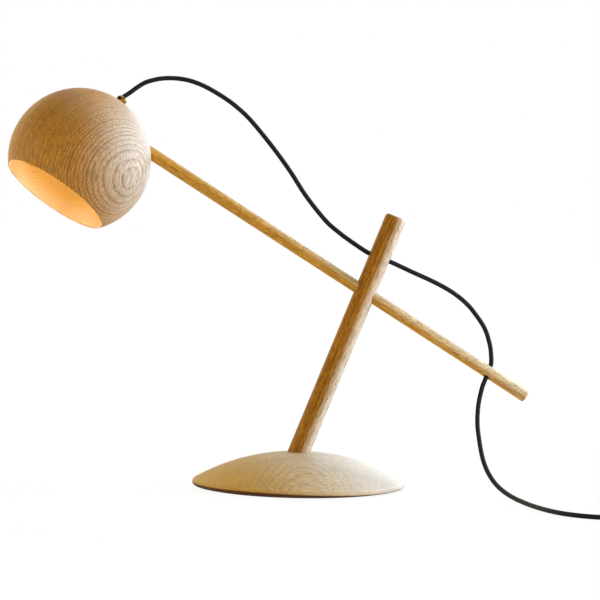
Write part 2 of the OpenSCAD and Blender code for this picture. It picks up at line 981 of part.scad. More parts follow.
module switch_top() {
    color(black_plastic)
        on_switch()
            difference() {
                union() {
                    difference() {
                        translate([0, 0, switch_axis])
                            round_slab(switch_l, switch_w, switch_axis, switch_corner);
                        translate([0, 0, -switch_wall])
                            switch_shell_void();
                    }
                    case_screw_places()
                        translate([0, 0, switch_axis])
                            cylinder(h = switch_axis - switch_wall, r = boss_r);
                    for (s = [-1, 1])
                        translate([-ear_l / 2, s * (rocker_w / 2 + loose_gap + ear_t / 2) - ear_t / 2, ear_z])
                            cube([ear_l, ear_t, switch_h - switch_wall - ear_z]);
                }
                relief_slots(fit_gap);
                case_screw_places()
                    translate([0, 0, switch_axis - cut])
                        cylinder(h = switch_axis - switch_wall, d = case_screw_d + 2 * fit_gap);
                translate([-rocker_l / 2 - 1, -rocker_w / 2 - loose_gap, pivot_z])
                    cube([rocker_l + 2, rocker_w + 2 * loose_gap, switch_h]);
                translate([0, 0, pivot_z])
                    rotate([90, 0, 0])
                        cylinder(h = pin_hole_len, d = rocker_pin_d + 2 * fit_gap, center = true);
            }
}

module switch_rocker() {
    half = rocker_l / 2;
    color("dimgray")
        on_switch()
            translate([0, 0, pivot_z])
                rotate([0, -rocker_tip, 0])
                    rotate([90, 0, 0])
                        linear_extrude(height = rocker_w, center = true)
                            difference() {
                                polygon([
                                    [-half, -rocker_low], [half, -rocker_low], [half, rocker_edge],
                                    [0, rocker_dip], [-half, rocker_edge]
                                ]);
                                circle(d = rocker_pin_d + 2 * run_gap);
                            }
}

module rocker_pin() {
    color(steel)
        on_switch()
            translate([0, 0, pivot_z])
                rotate([90, 0, 0])
                    cylinder(h = rocker_w + 2 * (loose_gap + ear_t), d = rocker_pin_d, center = true);
}

module switch_contacts() {
    color(gold_brass)
        on_switch()
            for (s = [-1, 1])
                translate([s * contact_x, 0, switch_wall])
                    for (box = [contact_plate, contact_post])
                        translate([-box[0] / 2, -box[1] / 2, 0])
                            cube(box);
}

module switch_screws() {
    color(steel)
        on_switch()
            case_screw_places() {
                cylinder(h = switch_h - switch_wall - 3, d = case_screw_d);
                cylinder(h = switch_wall / 2, d = 2 * case_screw_d - 2 * fit_gap);
            }
}

module switch_reliefs() {
    color(black_plastic)
        on_switch()
            for (s = [-1, 1])
                translate([s * switch_l / 2, 0, switch_axis])
                    rotate([0, s * 90, 0]) {
                        cylinder(h = switch_relief, r1 = relief_root_r, r2 = relief_tip_r);
                        translate([0, 0, -relief_root])
                            cylinder(h = relief_root, r = relief_root_r);
                    }
}

// Plug
module plug_body() {
    color(black_plastic)
        on_plug()
            difference() {
                translate([0, 0, -plug_t / 2])
                    linear_extrude(height = plug_t)
                        polygon([
                            [plug_relief, -plug_neck_w / 2],
                            [plug_face - plug_head, -plug_w / 2], [plug_face, -plug_w / 2],
                            [plug_face, plug_w / 2], [plug_face - plug_head, plug_w / 2],
                            [plug_relief, plug_neck_w / 2]
                        ]);
                for (s = [-1, 1])
                    translate([0, s * pin_pitch / 2, 0])
                        bar(plug_face - pin_seat, plug_face + cut, pin_d + 2 * fit_gap);
            }
}

module plug_pins() {
    color(steel)
        on_plug()
            for (s = [-1, 1])
                translate([0, s * pin_pitch / 2, 0]) {
                    bar(plug_face - pin_seat, plug_face + pin_l - pin_d / 2, pin_d);
                    translate([plug_face + pin_l - pin_d / 2, 0, 0])
                        sphere(d = pin_d);
                }
}

module plug_boot() {
    color(black_plastic)
        on_plug()
            rotate([0, 90, 0])
                cylinder(h = plug_relief, r1 = relief_tip_r, r2 = relief_root_r);
}

base_felt();
base_weight();
weight_screws();
base_dome();
post();
post_insert();
post_washer();
post_bolt();
arm_bush();
arm();
arm_pin();
shade();
cord_grip();
crown_tube();
crown_washer();
crown_nut();
holder_cap();
holder_core();
holder_sleeve();
holder_contact();
holder_body();
bulb_cap();
bulb_body();
bulb_board();
bulb_globe();
lead_inner();
lead_upper();
lead_middle();
lead_lower();
lead_link();
lead_coil();
lead_tail();
coil_tie();
switch_base();
switch_top();
switch_rocker();
rocker_pin();
switch_contacts();
switch_screws();
switch_reliefs();
plug_body();
plug_pins();
plug_boot();
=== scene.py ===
"""Table lamp in turned oak: wood, cord, fittings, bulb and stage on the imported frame."""
import math

import bmesh
import bpy
from mathutils import Matrix, Vector


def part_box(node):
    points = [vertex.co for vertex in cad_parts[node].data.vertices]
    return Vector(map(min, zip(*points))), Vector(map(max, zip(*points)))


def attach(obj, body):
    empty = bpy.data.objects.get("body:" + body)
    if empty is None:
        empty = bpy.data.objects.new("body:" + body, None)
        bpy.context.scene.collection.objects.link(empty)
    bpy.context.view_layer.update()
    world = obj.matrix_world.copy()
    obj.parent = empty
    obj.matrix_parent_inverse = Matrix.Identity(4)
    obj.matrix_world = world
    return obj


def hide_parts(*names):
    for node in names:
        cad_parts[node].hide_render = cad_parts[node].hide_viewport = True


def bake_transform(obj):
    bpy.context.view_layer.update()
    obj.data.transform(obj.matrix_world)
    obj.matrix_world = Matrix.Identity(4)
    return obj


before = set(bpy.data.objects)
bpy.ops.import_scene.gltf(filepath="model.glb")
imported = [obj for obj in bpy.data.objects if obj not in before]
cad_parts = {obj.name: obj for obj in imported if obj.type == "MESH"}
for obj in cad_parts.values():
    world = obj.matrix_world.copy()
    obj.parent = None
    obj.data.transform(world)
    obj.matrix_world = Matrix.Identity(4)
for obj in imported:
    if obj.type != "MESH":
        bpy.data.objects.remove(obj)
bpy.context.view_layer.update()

bl_info = {
    "name": "Oak table lamp",
    "version": (1, 0, 0),
    "blender": (4, 5, 0),
    "location": "View3D > Sidebar > Lamp",
    "description": "Dresses an oak table lamp: turned wood, textile cord, brass and plastic fittings",
    "category": "Object",
}

MM = 0.001
PER_METRE = 1000
QUARTER = math.pi / 2
NEAR = 0.01 * MM          # two points this close count as one when edges are picked
CLOSE_FIT = 0.05 * MM     # play of the arm in the shade, and of the cord in its grip
BUSH_WALL = 0.9 * MM      # the bush round the arm, with its play
SEAT_RIM = 0.3 * MM       # how far the flat on the shade's crown shows round the grip


class LampSizes(bpy.types.PropertyGroup):
    """Sizes of the lamp, as its frame has them"""

    dome_height: bpy.props.FloatProperty(
        name="Dome height", description="Top of the base's dome above the table",
        default=0.042, unit="LENGTH")
    post_diameter: bpy.props.FloatProperty(
        name="Post diameter", description="Diameter of the leaning post",
        default=0.0255, unit="LENGTH")
    post_length: bpy.props.FloatProperty(
        name="Post length", description="Length of the post above the dome",
        default=0.300, unit="LENGTH")
    post_socket: bpy.props.FloatProperty(
        name="Post socket", description="Depth of the post in the base",
        default=0.021, unit="LENGTH")
    post_lean: bpy.props.FloatProperty(
        name="Post lean", description="Lean of the post from upright",
        default=math.radians(21.5), subtype="ANGLE")
    arm_height: bpy.props.FloatProperty(
        name="Arm height", description="Place of the arm along the post",
        default=0.2035, unit="LENGTH")
    cord_hole_rise: bpy.props.FloatProperty(
        name="Cord hole rise", description="Cord hole above the arm, along the post",
        default=0.0445, unit="LENGTH")
    cord_hole_diameter: bpy.props.FloatProperty(
        name="Cord hole diameter", description="Diameter of the cord holes",
        default=0.008, unit="LENGTH")
    arm_diameter: bpy.props.FloatProperty(
        name="Arm diameter", description="Diameter of the arm",
        default=0.0145, unit="LENGTH")
    arm_slope: bpy.props.FloatProperty(
        name="Arm slope", description="Slope of the arm below level",
        default=math.radians(32), subtype="ANGLE")
    arm_inner: bpy.props.FloatProperty(
        name="Arm inner end", description="Length of the arm on the shade's side",
        default=0.3190, unit="LENGTH")
    arm_tail: bpy.props.FloatProperty(
        name="Arm tail", description="Length of the arm on its free side",
        default=0.2265, unit="LENGTH")
    arm_hole: bpy.props.FloatProperty(
        name="Arm hole", description="Cord hole's distance along the arm",
        default=0.173, unit="LENGTH")
    arm_hole_turn: bpy.props.FloatProperty(
        name="Arm hole turn", description="Turn of the arm's cord hole",
        default=math.radians(8), subtype="ANGLE")
    arm_hole_lean: bpy.props.FloatProperty(
        name="Arm hole lean", description="Lean of the arm's cord hole to the post",
        default=math.radians(8.5), subtype="ANGLE")
    shade_diameter: bpy.props.FloatProperty(
        name="Shade diameter", description="Outer diameter of the ball",
        default=0.167, unit="LENGTH")
    cavity_diameter: bpy.props.FloatProperty(
        name="Cavity diameter", description="Diameter of the ball's hollow",
        default=0.160, unit="LENGTH")
    cavity_drop: bpy.props.FloatProperty(
        name="Cavity drop", description="Shift of the hollow to the mouth",
        default=0.0035, unit="LENGTH")
    mouth_drop: bpy.props.FloatProperty(
        name="Mouth drop", description="Mouth's plane below the centre",
        default=0.0515, unit="LENGTH")
    shade_reach: bpy.props.FloatProperty(
        name="Shade reach", description="Shade's distance along the arm",
        default=0.3655, unit="LENGTH")
    shade_drop: bpy.props.FloatProperty(
        name="Shade drop", description="Shade's centre below the arm",
        default=0.0535, unit="LENGTH")
    shade_roll: bpy.props.FloatProperty(
        name="Shade roll", description="Turn of the shade about the arm",
        default=math.radians(17), subtype="ANGLE")
    shade_tilt: bpy.props.FloatProperty(
        name="Shade tilt", description="Lean of the shade on the arm",
        default=math.radians(1), subtype="ANGLE")
    grip_diameter: bpy.props.FloatProperty(
        name="Grip diameter", description="Diameter of the cord grip",
        default=0.013, unit="LENGTH")
    grip_height: bpy.props.FloatProperty(
        name="Grip height", description="Height of the cord grip",
        default=0.0095, unit="LENGTH")
    cord_diameter: bpy.props.FloatProperty(
        name="Cord diameter", description="Diameter of the cord",
        default=0.0055, unit="LENGTH")
    coil_turns: bpy.props.FloatProperty(
        name="Coil turns", description="Turns of the spare cord",
        default=4.5)
    coil_inner: bpy.props.FloatProperty(
        name="Coil radius", description="Innermost radius of the coil",
        default=0.0222, unit="LENGTH")
    coil_gap: bpy.props.FloatProperty(
        name="Coil gap", description="Free gap between turns",
        default=0.0006, unit="LENGTH")


class LampColours(bpy.types.PropertyGroup):
    """Colours of the lamp's finishes, the painted light and shadow on its oak, and the glow of its bulb"""

    shade_heart: bpy.props.FloatVectorProperty(
        name="Shade heartwood", description="Golden wood of the ball",
        default=(0.59, 0.31, 0.056), subtype="COLOR")
    # Painted light: the paler colour given to the ball's side that the strong light falls on
    shade_lit_side: bpy.props.FloatVectorProperty(
        name="Shade lit_side_wood", description="Paler wood of the ball's outer rings",
        default=(0.65, 0.56, 0.46), subtype="COLOR")
    base_heart: bpy.props.FloatVectorProperty(
        name="Base heartwood", description="Golden wood of the base",
        default=(0.68, 0.43, 0.10), subtype="COLOR")
    # Painted light: the paler colour given to the base where the strong light falls
    base_lit_side: bpy.props.FloatVectorProperty(
        name="Base lit_side_wood", description="Paler wood of the base",
        default=(0.70, 0.64, 0.53), subtype="COLOR")
    post_heart: bpy.props.FloatVectorProperty(
        name="Post heartwood", description="Dark wood of the post",
        default=(0.49, 0.23, 0.012), subtype="COLOR")
    # Painted light: the paler colour given to the post's side that the strong light falls on
    post_lit_side: bpy.props.FloatVectorProperty(
        name="Post lit_side_wood", description="Paler wood of the post",
        default=(0.78, 0.70, 0.58), subtype="COLOR")
    arm_heart: bpy.props.FloatVectorProperty(
        name="Arm heartwood", description="Golden wood of the arm",
        default=(0.77, 0.44, 0.06), subtype="COLOR")
    # Painted light: the paler colour given to the arm's upper side, where the strong light falls
    arm_lit_side: bpy.props.FloatVectorProperty(
        name="Arm lit_side_wood", description="Paler wood of the arm",
        default=(0.80, 0.66, 0.43), subtype="COLOR")
    oak_line: bpy.props.FloatVectorProperty(
        name="Growth line", description="Share of the wood's colour that a growth line keeps",
        default=(0.62, 0.49, 0.33), subtype="COLOR")
    oak_pore: bpy.props.FloatVectorProperty(
        name="Pore", description="Share of the wood's colour that an open pore keeps",
        default=(0.40, 0.28, 0.17), subtype="COLOR")
    # Painted shadow: colour of the dark band painted along the base's lower edge
    foot_shadow: bpy.props.FloatVectorProperty(
        name="Oak foot", description="Dark lower edge of the base",
        default=(0.10, 0.042, 0.01), subtype="COLOR")
    cord: bpy.props.FloatVectorProperty(
        name="Cord", description="Textile of the cord",
        default=(0.0105, 0.0125, 0.018), subtype="COLOR")
    brass: bpy.props.FloatVectorProperty(
        name="Brass", description="Brass fittings",
        default=(0.27, 0.145, 0.03), subtype="COLOR")
    steel: bpy.props.FloatVectorProperty(
        name="Steel", description="Steel parts",
        default=(0.56, 0.57, 0.58), subtype="COLOR")
    nickel: bpy.props.FloatVectorProperty(
        name="Nickel", description="Pins of the plug",
        default=(0.66, 0.64, 0.60), subtype="COLOR")
    plastic: bpy.props.FloatVectorProperty(
        name="Plastic", description="Black mouldings",
        default=(0.016, 0.016, 0.018), subtype="COLOR")
    rocker: bpy.props.FloatVectorProperty(
        name="Rocker", description="Rocker of the switch",
        default=(0.05, 0.05, 0.052), subtype="COLOR")
    relief: bpy.props.FloatVectorProperty(
        name="Strain relief", description="Soft strain reliefs",
        default=(0.014, 0.014, 0.015), subtype="COLOR")
    tie: bpy.props.FloatVectorProperty(
        name="Tie", description="Band round the spare cord",
        default=(0.016, 0.016, 0.017), subtype="COLOR")
    bush: bpy.props.FloatVectorProperty(
        name="Bush", description="Bush that the arm turns in",
        default=(0.05, 0.045, 0.04), subtype="COLOR")
    porcelain: bpy.props.FloatVectorProperty(
        name="Porcelain", description="Core of the lampholder",
        default=(0.78, 0.76, 0.72), subtype="COLOR")
    bulb_body: bpy.props.FloatVectorProperty(
        name="Bulb body", description="White body of the bulb",
        default=(0.72, 0.71, 0.68), subtype="COLOR")
    felt: bpy.props.FloatVectorProperty(
        name="Felt", description="Felt under the base",
        default=(0.045, 0.040, 0.036), subtype="COLOR")
    bulb_light: bpy.props.FloatVectorProperty(
        name="Bulb light", description="Light of the bulb",
        default=(1.0, 0.97, 0.86), subtype="COLOR")
    bulb_power: bpy.props.FloatProperty(
        name="Bulb power", description="Glow of the bulb's globe",
        default=22.0)


def sizes():
    return bpy.context.scene.lamp_sizes


def colours():
    return bpy.context.scene.lamp_colours


# Frames of the leaning and sloping pieces

def turned_about(axis, angle):
    return Matrix.Rotation(angle, 4, axis)


def post_frame():
    s = sizes()
    return Matrix.Translation((0, 0, s.dome_height)) @ turned_about("Y", s.post_lean)


def crossing():
    """The point where the arm's axis meets the post's"""
    return post_frame() @ Vector((0, 0, sizes().arm_height))


def sloped_frame():
    return Matrix.Translation(crossing()) @ turned_about("Y", sizes().arm_slope)


def arm_frame():
    return sloped_frame() @ turned_about("X", -sizes().shade_roll)


def shade_frame():
    s = sizes()
    centre = Matrix.Translation((-s.shade_reach, 0, -s.shade_drop))
    return arm_frame() @ centre @ turned_about("Y", s.shade_tilt)


def arm_hole_frame():
    s = sizes()
    hole = Matrix.Translation((s.arm_hole, 0, 0))
    return arm_frame() @ hole @ turned_about("X", -s.arm_hole_turn) @ turned_about("Y", -s.arm_hole_lean)


def direction(matrix, axis):
    return (matrix.to_3x3() @ Vector(axis)).normalized()


def grip_seat():
    """Radius and height of the flat on the shade's crown that the grip sits on"""
    s = sizes()
    radius = s.grip_diameter / 2 + SEAT_RIM
    return radius, math.sqrt((s.shade_diameter / 2) ** 2 - radius ** 2)


# Modelling by hand

def edit_mode():
    bpy.ops.object.mode_set(mode="EDIT")


def object_mode():
    bpy.ops.object.mode_set(mode="OBJECT")


def deselect():
    if bpy.context.object and bpy.context.object.mode != "OBJECT":
        object_mode()
    bpy.ops.object.select_all(action="DESELECT")


def pick(piece):
    deselect()
    piece.select_set(True)
    bpy.context.view_layer.objects.active = piece


def place(piece, matrix):
    """Moves a piece to its frame and leaves its object at the origin"""
    pick(piece)
    piece.matrix_world = matrix
    bpy.ops.object.transform_apply(location=True, rotation=True, scale=True)
    return piece


def arc(centre, radius, start, end, steps):
    """Points of an arc in an outline, from one angle to another"""
    angles = [start + (end - start) * i / steps for i in range(steps + 1)]
    return [(centre[0] + radius * math.cos(a), centre[1] + radius * math.sin(a)) for a in angles]


def turn(name, outline, matrix, steps):
    """Turns an outline of radius and height round its axis, as on a lathe"""
    deselect()
    bpy.ops.mesh.primitive_plane_add(size=MM)
    piece = bpy.context.object
    piece.name = name
    edit_mode()
    bpy.ops.mesh.select_mode(type="VERT")
    bpy.ops.mesh.select_all(action="SELECT")
    bpy.ops.mesh.merge(type="CENTER")
    bpy.ops.transform.translate(value=(outline[0][0], 0, outline[0][1]))
    for (r0, z0), (r1, z1) in zip(outline, outline[1:]):
        bpy.ops.mesh.extrude_region_move(TRANSFORM_OT_translate={"value": (r1 - r0, 0, z1 - z0)})
    bpy.ops.mesh.select_all(action="SELECT")
    bpy.ops.mesh.spin(steps=steps, angle=math.tau, center=(0, 0, 0), axis=(0, 0, 1))
    bpy.ops.mesh.select_all(action="SELECT")
    bpy.ops.mesh.remove_doubles(threshold=1e-6)
    bpy.ops.mesh.normals_make_consistent(inside=False)
    object_mode()
    return place(piece, matrix)


def dowel(name, radius, edge, low, high, matrix, steps):
    """Turns a dowel along its frame's z axis, with a round edge at its high end"""
    outline = [(0, low), (radius, low)]
    outline += arc((radius - edge, high - edge), edge, 0, QUARTER, 8)
    return turn(name, outline + [(0, high)], matrix, steps)


def block(name, low, high):
    """A box between two corners, ready to be shaped"""
    deselect()
    low, high = Vector(low), Vector(high)
    bpy.ops.mesh.primitive_cube_add(size=1, location=(low + high) / 2, scale=high - low)
    piece = bpy.context.object
    piece.name = name
    bpy.ops.object.transform_apply(location=True, rotation=True, scale=True)
    return piece


def select_where(piece, kind, test):
    """Goes into edit mode with the edges or faces that pass a test selected

    An edge is tested by its two ends, a face by its middle and normal.
    """
    pick(piece)
    mesh = piece.data
    edit_mode()
    bpy.ops.mesh.select_mode(type=kind)
    bpy.ops.mesh.select_all(action="DESELECT")
    object_mode()
    if kind == "EDGE":
        for edge in mesh.edges:
            edge.select = test(*(mesh.vertices[i].co for i in edge.vertices))
    else:
        for face in mesh.polygons:
            face.select = test(face.center, face.normal)
    edit_mode()


def eased(piece, width, segments, test):
    """Rounds the edges whose two ends pass a test"""
    select_where(piece, "EDGE", test)
    bpy.ops.mesh.bevel(offset=width, segments=segments, affect="EDGES", clamp_overlap=True)
    object_mode()
    return piece


def sliced(piece, places):
    """Cuts a piece across its x axis, for shaping along its length"""
    pick(piece)
    edit_mode()
    for x in places:
        bpy.ops.mesh.select_all(action="SELECT")
        bpy.ops.mesh.bisect(plane_co=(x, 0, 0), plane_no=(1, 0, 0))
    object_mode()
    return piece


def modified(piece, kind, **settings):
    """Adds a modifier to a piece, sets it and applies it"""
    pick(piece)
    bpy.ops.object.modifier_add(type=kind)
    modifier = piece.modifiers[-1]
    for key, value in settings.items():
        setattr(modifier, key, value)
    bpy.ops.object.modifier_apply(modifier=modifier.name)
    return piece


def softened(piece, width, segments, angle):
    """Rounds every edge that is sharper than an angle"""
    return modified(piece, "BEVEL", width=width, segments=segments, limit_method="ANGLE",
                    angle_limit=math.radians(angle))


def cut_away(piece, cutter):
    """Takes a cutter's volume out of a piece"""
    modified(piece, "BOOLEAN", operation="DIFFERENCE", solver="EXACT", object=cutter)
    bpy.data.objects.remove(cutter, do_unlink=True)
    return piece


def bored(piece, matrix, radius, length):
    """Drills a round hole along the frame's z axis"""
    deselect()
    bpy.ops.mesh.primitive_cylinder_add(vertices=64, radius=radius, depth=length)
    return cut_away(piece, place(bpy.context.object, matrix))


def smooth(piece, angle=35):
    """Shades a piece smooth, apart from edges sharper than an angle"""
    pick(piece)
    bpy.ops.object.shade_smooth_by_angle(angle=math.radians(angle))
    return piece


def finish_piece(piece, body, slot, material, *nodes):
    """Gives a piece its material and body, and hides the nodes that it stands for"""
    piece.data.materials.clear()
    piece.data.materials.append(material)
    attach(piece, body)
    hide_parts(*nodes)
    return piece


def paint(material, *nodes):
    """Gives carried-over solids a material"""
    for name in nodes:
        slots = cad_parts[name].data.materials
        slots.clear()
        slots.append(material)


# Materials

class Nodes:
    """A node tree that grows one node at a time"""

    def __init__(self, tree):
        self.tree = tree

    def feed(self, socket, value):
        """Links a socket to another, or sets its own value"""
        if isinstance(value, bpy.types.NodeSocket):
            self.tree.links.new(value, socket)
        elif socket.type == "RGBA" and len(value) == 3:
            socket.default_value = (*value, 1)
        else:
            socket.default_value = value

    def add(self, kind, inputs=None, **settings):
        node = self.tree.nodes.new("ShaderNode" + kind)
        for key, value in settings.items():
            setattr(node, key, value)
        for key, value in (inputs or {}).items():
            self.feed(node.inputs[key], value)
        return node

    def math(self, operation, a, b=0.0, clamp=False):
        return self.add("Math", {0: a, 1: b}, operation=operation, use_clamp=clamp).outputs[0]

    def dot(self, a, b):
        return self.add("VectorMath", {0: a, 1: b}, operation="DOT_PRODUCT").outputs["Value"]

    def remap(self, value, low, high, to_low=0.0, to_high=1.0, smoothly=True):
        """Brings the span from low to high to another one, and holds it there"""
        inputs = {"Value": value, "From Min": low, "From Max": high, "To Min": to_low, "To Max": to_high}
        kind = "SMOOTHSTEP" if smoothly else "LINEAR"
        return self.add("MapRange", inputs, interpolation_type=kind).outputs["Result"]

    def spread(self, noise, low, high):
        """Brings the span in which a noise mostly lies to two values"""
        return self.remap(noise, 0.3, 0.7, low, high, False)

    def mix(self, amount, a, b, blend="MIX"):
        return self.add("Mix", {0: amount, 6: a, 7: b}, data_type="RGBA", blend_type=blend).outputs[2]

    def toned(self, colour, tone):
        """A colour made darker or lighter by a grey tone, where 1 leaves it as it is"""
        grey = self.add("CombineXYZ", {0: tone, 1: tone, 2: tone}).outputs[0]
        return self.mix(1.0, colour, grey, "MULTIPLY")

    def noise(self, spot, stretch, detail=2.0, roughness=0.5, shift=(0, 0, 0)):
        there = self.add("Mapping", {"Vector": spot, "Scale": stretch, "Location": shift}).outputs[0]
        inputs = {"Vector": there, "Scale": 1.0, "Detail": detail, "Roughness": roughness}
        return self.add("TexNoise", inputs).outputs[0]


class Finish(Nodes):
    """A material made of nodes round one shader"""

    def __init__(self, name):
        self.material = bpy.data.materials.new(name)
        self.material.use_nodes = True
        super().__init__(self.material.node_tree)
        self.shader = next(n for n in self.tree.nodes if n.type == "BSDF_PRINCIPLED")

    def spot(self):
        """The place on a piece, in metres in the lamp's own frame"""
        return self.add("TexCoord").outputs["Object"]

    def set(self, **values):
        """Feeds the shader's inputs by their names"""
        for key, value in values.items():
            self.feed(self.shader.inputs[key.replace("_", " ").title().replace("Ior", "IOR")], value)

    def bump(self, height, distance, strength):
        bump = self.add("Bump", {"Height": height, "Distance": distance, "Strength": strength})
        self.feed(self.shader.inputs["Normal"], bump.outputs[0])


def oak(name, heart, lit_side, fibre, layer, start, rise, reach, pitch, lines=1.0, pores=1.0, streaks=0.1,
        sway=2.2, ripple=0.45, flecks=1.0, gloss=0.42, inside=None, foot=None):
    """Oiled oak cut from growth layers

    layer is the layers' normal, fibre the grain and start a point on one growth line. pitch is the usual
    width of a year, and sway and ripple say how far its lines wander, in millimetres. The wood goes from
    heart to the paler lit-side colour after it along rise, between the two distances of reach, in
    millimetres: this is painted light, the side that the strong light falls on made paler, with weaker
    growth lines. lines, pores, streaks and flecks are the strengths of the figure. In the hollow ball inside
    (centre, radius, axis, mouth) the figure is faint, and the wood is palest at the mouth, which is a
    distance along the axis: painted light on the hollow's wall. Below the height foot the wood is dark: a
    painted shadow along the lower edge, taller where the wood is less pale.
    """
    c = colours()
    finish = Finish(name)
    spot = finish.spot()
    n = Vector(layer).normalized()
    f = Vector(fibre)
    f = (f - f.dot(n) * n).normalized()
    to_grain = Matrix((f, n.cross(f), n))
    grain = finish.add("Mapping", {
        "Vector": spot, "Scale": (PER_METRE, PER_METRE, PER_METRE), "Rotation": to_grain.to_euler(),
        "Location": to_grain @ Vector(start) * -PER_METRE}).outputs[0]

    def figure(along, across, span, values, shift=(0, 0, 0), detail=1.0, roughness=0.5, smoothly=False):
        """A noise scaled along and across the grain, per millimetre, with its span brought to two values"""
        noise = finish.noise(grain, (along, across, across), detail, roughness, shift)
        return finish.remap(noise, *span, *values, smoothly)

    def plus(a, b):
        return finish.math("ADD", a, b)

    def times(a, b):
        return finish.math("MULTIPLY", a, b)

    # Growth layers that curve, sway and ripple, with wide and narrow years
    curve, uneven, early_end, late_start = 0.0012, 0.7, 0.38, 0.88
    _, across, depth = finish.add("SeparateXYZ", {"Vector": grain}).outputs
    bend = times(finish.math("POWER", finish.math("ABSOLUTE", across), 2.0), curve)
    wave = figure(0.004, 0.016, (0, 1), (-sway, sway), detail=2.0)
    shake = figure(0.05, 0.22, (0, 1), (-ripple, ripple))
    year = finish.math("DIVIDE", plus(plus(depth, bend), plus(wave, shake)), pitch)
    weather = finish.add("TexNoise", {"W": times(year, 0.45), "Scale": 1.0}, noise_dimensions="1D").outputs[0]
    phase = finish.math("FRACT", plus(year, finish.remap(weather, 0, 1, -uneven, uneven, False)))

    # Dark early wood with its pores, and streaks, flecks, threads and clouds over all of it
    early = finish.math("MAXIMUM", finish.remap(phase, early_end, 0.0), finish.remap(phase, late_start, 1.0))
    strong = figure(0.012, 0.05, (0.3, 0.7), (0.6, 1.0), (31, 7, 3), smoothly=True)
    streak = figure(0.05, 0.45, (0.46, 0.68), (0, 4 * streaks), (8, 1, 6), detail=2.0, smoothly=True)
    line = finish.math("ADD", times(times(early, strong), lines), streak, True)
    dashes = figure(0.13, 1.25, (0.48, 0.64), (0, 1), detail=2.0, roughness=0.6, smoothly=True)
    pore = finish.math("MULTIPLY", dashes, finish.remap(early, 0, 1, 0.3 * pores, 0.7 * pores, False), True)
    fleck, thread, patchy = 0.17 * flecks, 0.13, 0.10
    dots = figure(0.12, 0.85, (0.35, 0.65), (-fleck, fleck), (7, 3, 5))
    threads = figure(0.03, 2.6, (0.3, 0.7), (-thread, thread), (5, 9, 2), detail=2.0)
    cloud = figure(0.006, 0.02, (0.3, 0.7), (-patchy, patchy), (2, 4, 8))

    # Painted light: golden heart to a paler colour on the side that the strong light falls on, where the
    # growth lines are painted weaker too
    pale = finish.remap(plus(finish.dot(spot, Vector(rise).normalized() * PER_METRE), wave), *reach)
    line = times(line, finish.remap(pale, 0, 1, 1.0, 0.65))
    if inside:
        centre, radius, axis, mouth = inside
        glow_depth, mouth_pale, left_of_figure = 34 * MM, 0.38, 0.2
        deep = finish.add("VectorMath", {0: spot, 1: centre}, operation="DISTANCE").outputs["Value"]
        faint = finish.remap(deep, radius, radius + MM, left_of_figure, 1.0)
        line, pore, dots = (times(value, faint) for value in (line, pore, dots))
        # Painted light: the hollow's wall is made paler towards the mouth, with a blotchy spread
        near_mouth = finish.remap(finish.dot(spot, axis), mouth, mouth + glow_depth, mouth_pale, 0.0)
        hollow = finish.remap(deep, radius, radius + MM, 1.0, 0.0)
        pale = finish.math("MAXIMUM", pale, times(plus(near_mouth, times(cloud, 1.3)), hollow))
    wood = finish.toned(finish.mix(pale, heart, lit_side), plus(plus(threads, dots), plus(cloud, 1.0)))
    share = finish.mix(line, (1.0, 1.0, 1.0), c.oak_line)
    share = finish.mix(pore, share, c.oak_pore)
    wood = finish.mix(1.0, wood, share, "MULTIPLY")
    # Painted shadow: a dark band along the base's lower edge, taller where the wood is less pale, on the
    # shaded side
    if foot:
        pale_lift, soft_edge = 3.4 * MM, 1.2 * MM
        height = plus(finish.add("SeparateXYZ", {"Vector": spot}).outputs[2], times(pale, pale_lift))
        wood = finish.mix(finish.remap(height, foot, foot - soft_edge), wood, c.foot_shadow)
    rough = finish.remap(pore, 0, 1, 0.46, 0.72, False)
    finish.set(base_color=wood, roughness=rough, specular_ior_level=gloss)
    finish.bump(finish.math("SUBTRACT", times(threads, 0.8), times(pore, 0.7)), 0.22 * MM, 0.2)
    return finish.material


def brushed(name, colour, roughness):
    """Metal with fine turning or brushing marks"""
    finish = Finish(name)
    marks = finish.noise(finish.spot(), (30, 30, 900), 3.0, 0.6)
    finish.set(base_color=finish.toned(colour, finish.spread(marks, 0.82, 1.08)), metallic=1.0,
               roughness=finish.spread(marks, roughness * 0.8, roughness * 1.25))
    finish.bump(marks, 0.03 * MM, 0.4)
    return finish.material


def moulded(name, colour, roughness):
    """Moulded plastic, rubber or porcelain with a fine grain"""
    finish = Finish(name)
    spot = finish.spot()
    fine = finish.noise(spot, (2600, 2600, 2600), 2.0, 0.6)
    wide = finish.noise(spot, (60, 60, 60))
    finish.set(base_color=finish.toned(colour, finish.spread(wide, 0.88, 1.12)), specular_ior_level=0.35,
               roughness=finish.spread(fine, roughness * 0.9, roughness * 1.1))
    finish.bump(fine, 0.04 * MM, 0.5)
    return finish.material


def felted(name, colour, hair):
    """Felt or looped textile, with so many hairs to a metre"""
    finish = Finish(name)
    hairs = finish.noise(finish.spot(), (hair, hair, hair), 4.0, 0.7)
    tint = finish.toned(colour, finish.spread(hairs, 0.6, 1.5))
    finish.set(base_color=tint, roughness=0.95, sheen_weight=0.3)
    finish.bump(hairs, 0.3 * MM, 0.7)
    return finish.material


def opal(name):
    """Milky glass that glows"""
    c = colours()
    finish = Finish(name)
    milk = finish.remap(finish.noise(finish.spot(), (90, 90, 90)), 0.3, 0.7)
    finish.set(base_color=finish.mix(milk, (0.86, 0.80, 0.70), (0.92, 0.86, 0.76)), roughness=0.3,
               emission_color=c.bulb_light, emission_strength=c.bulb_power)
    return finish.material


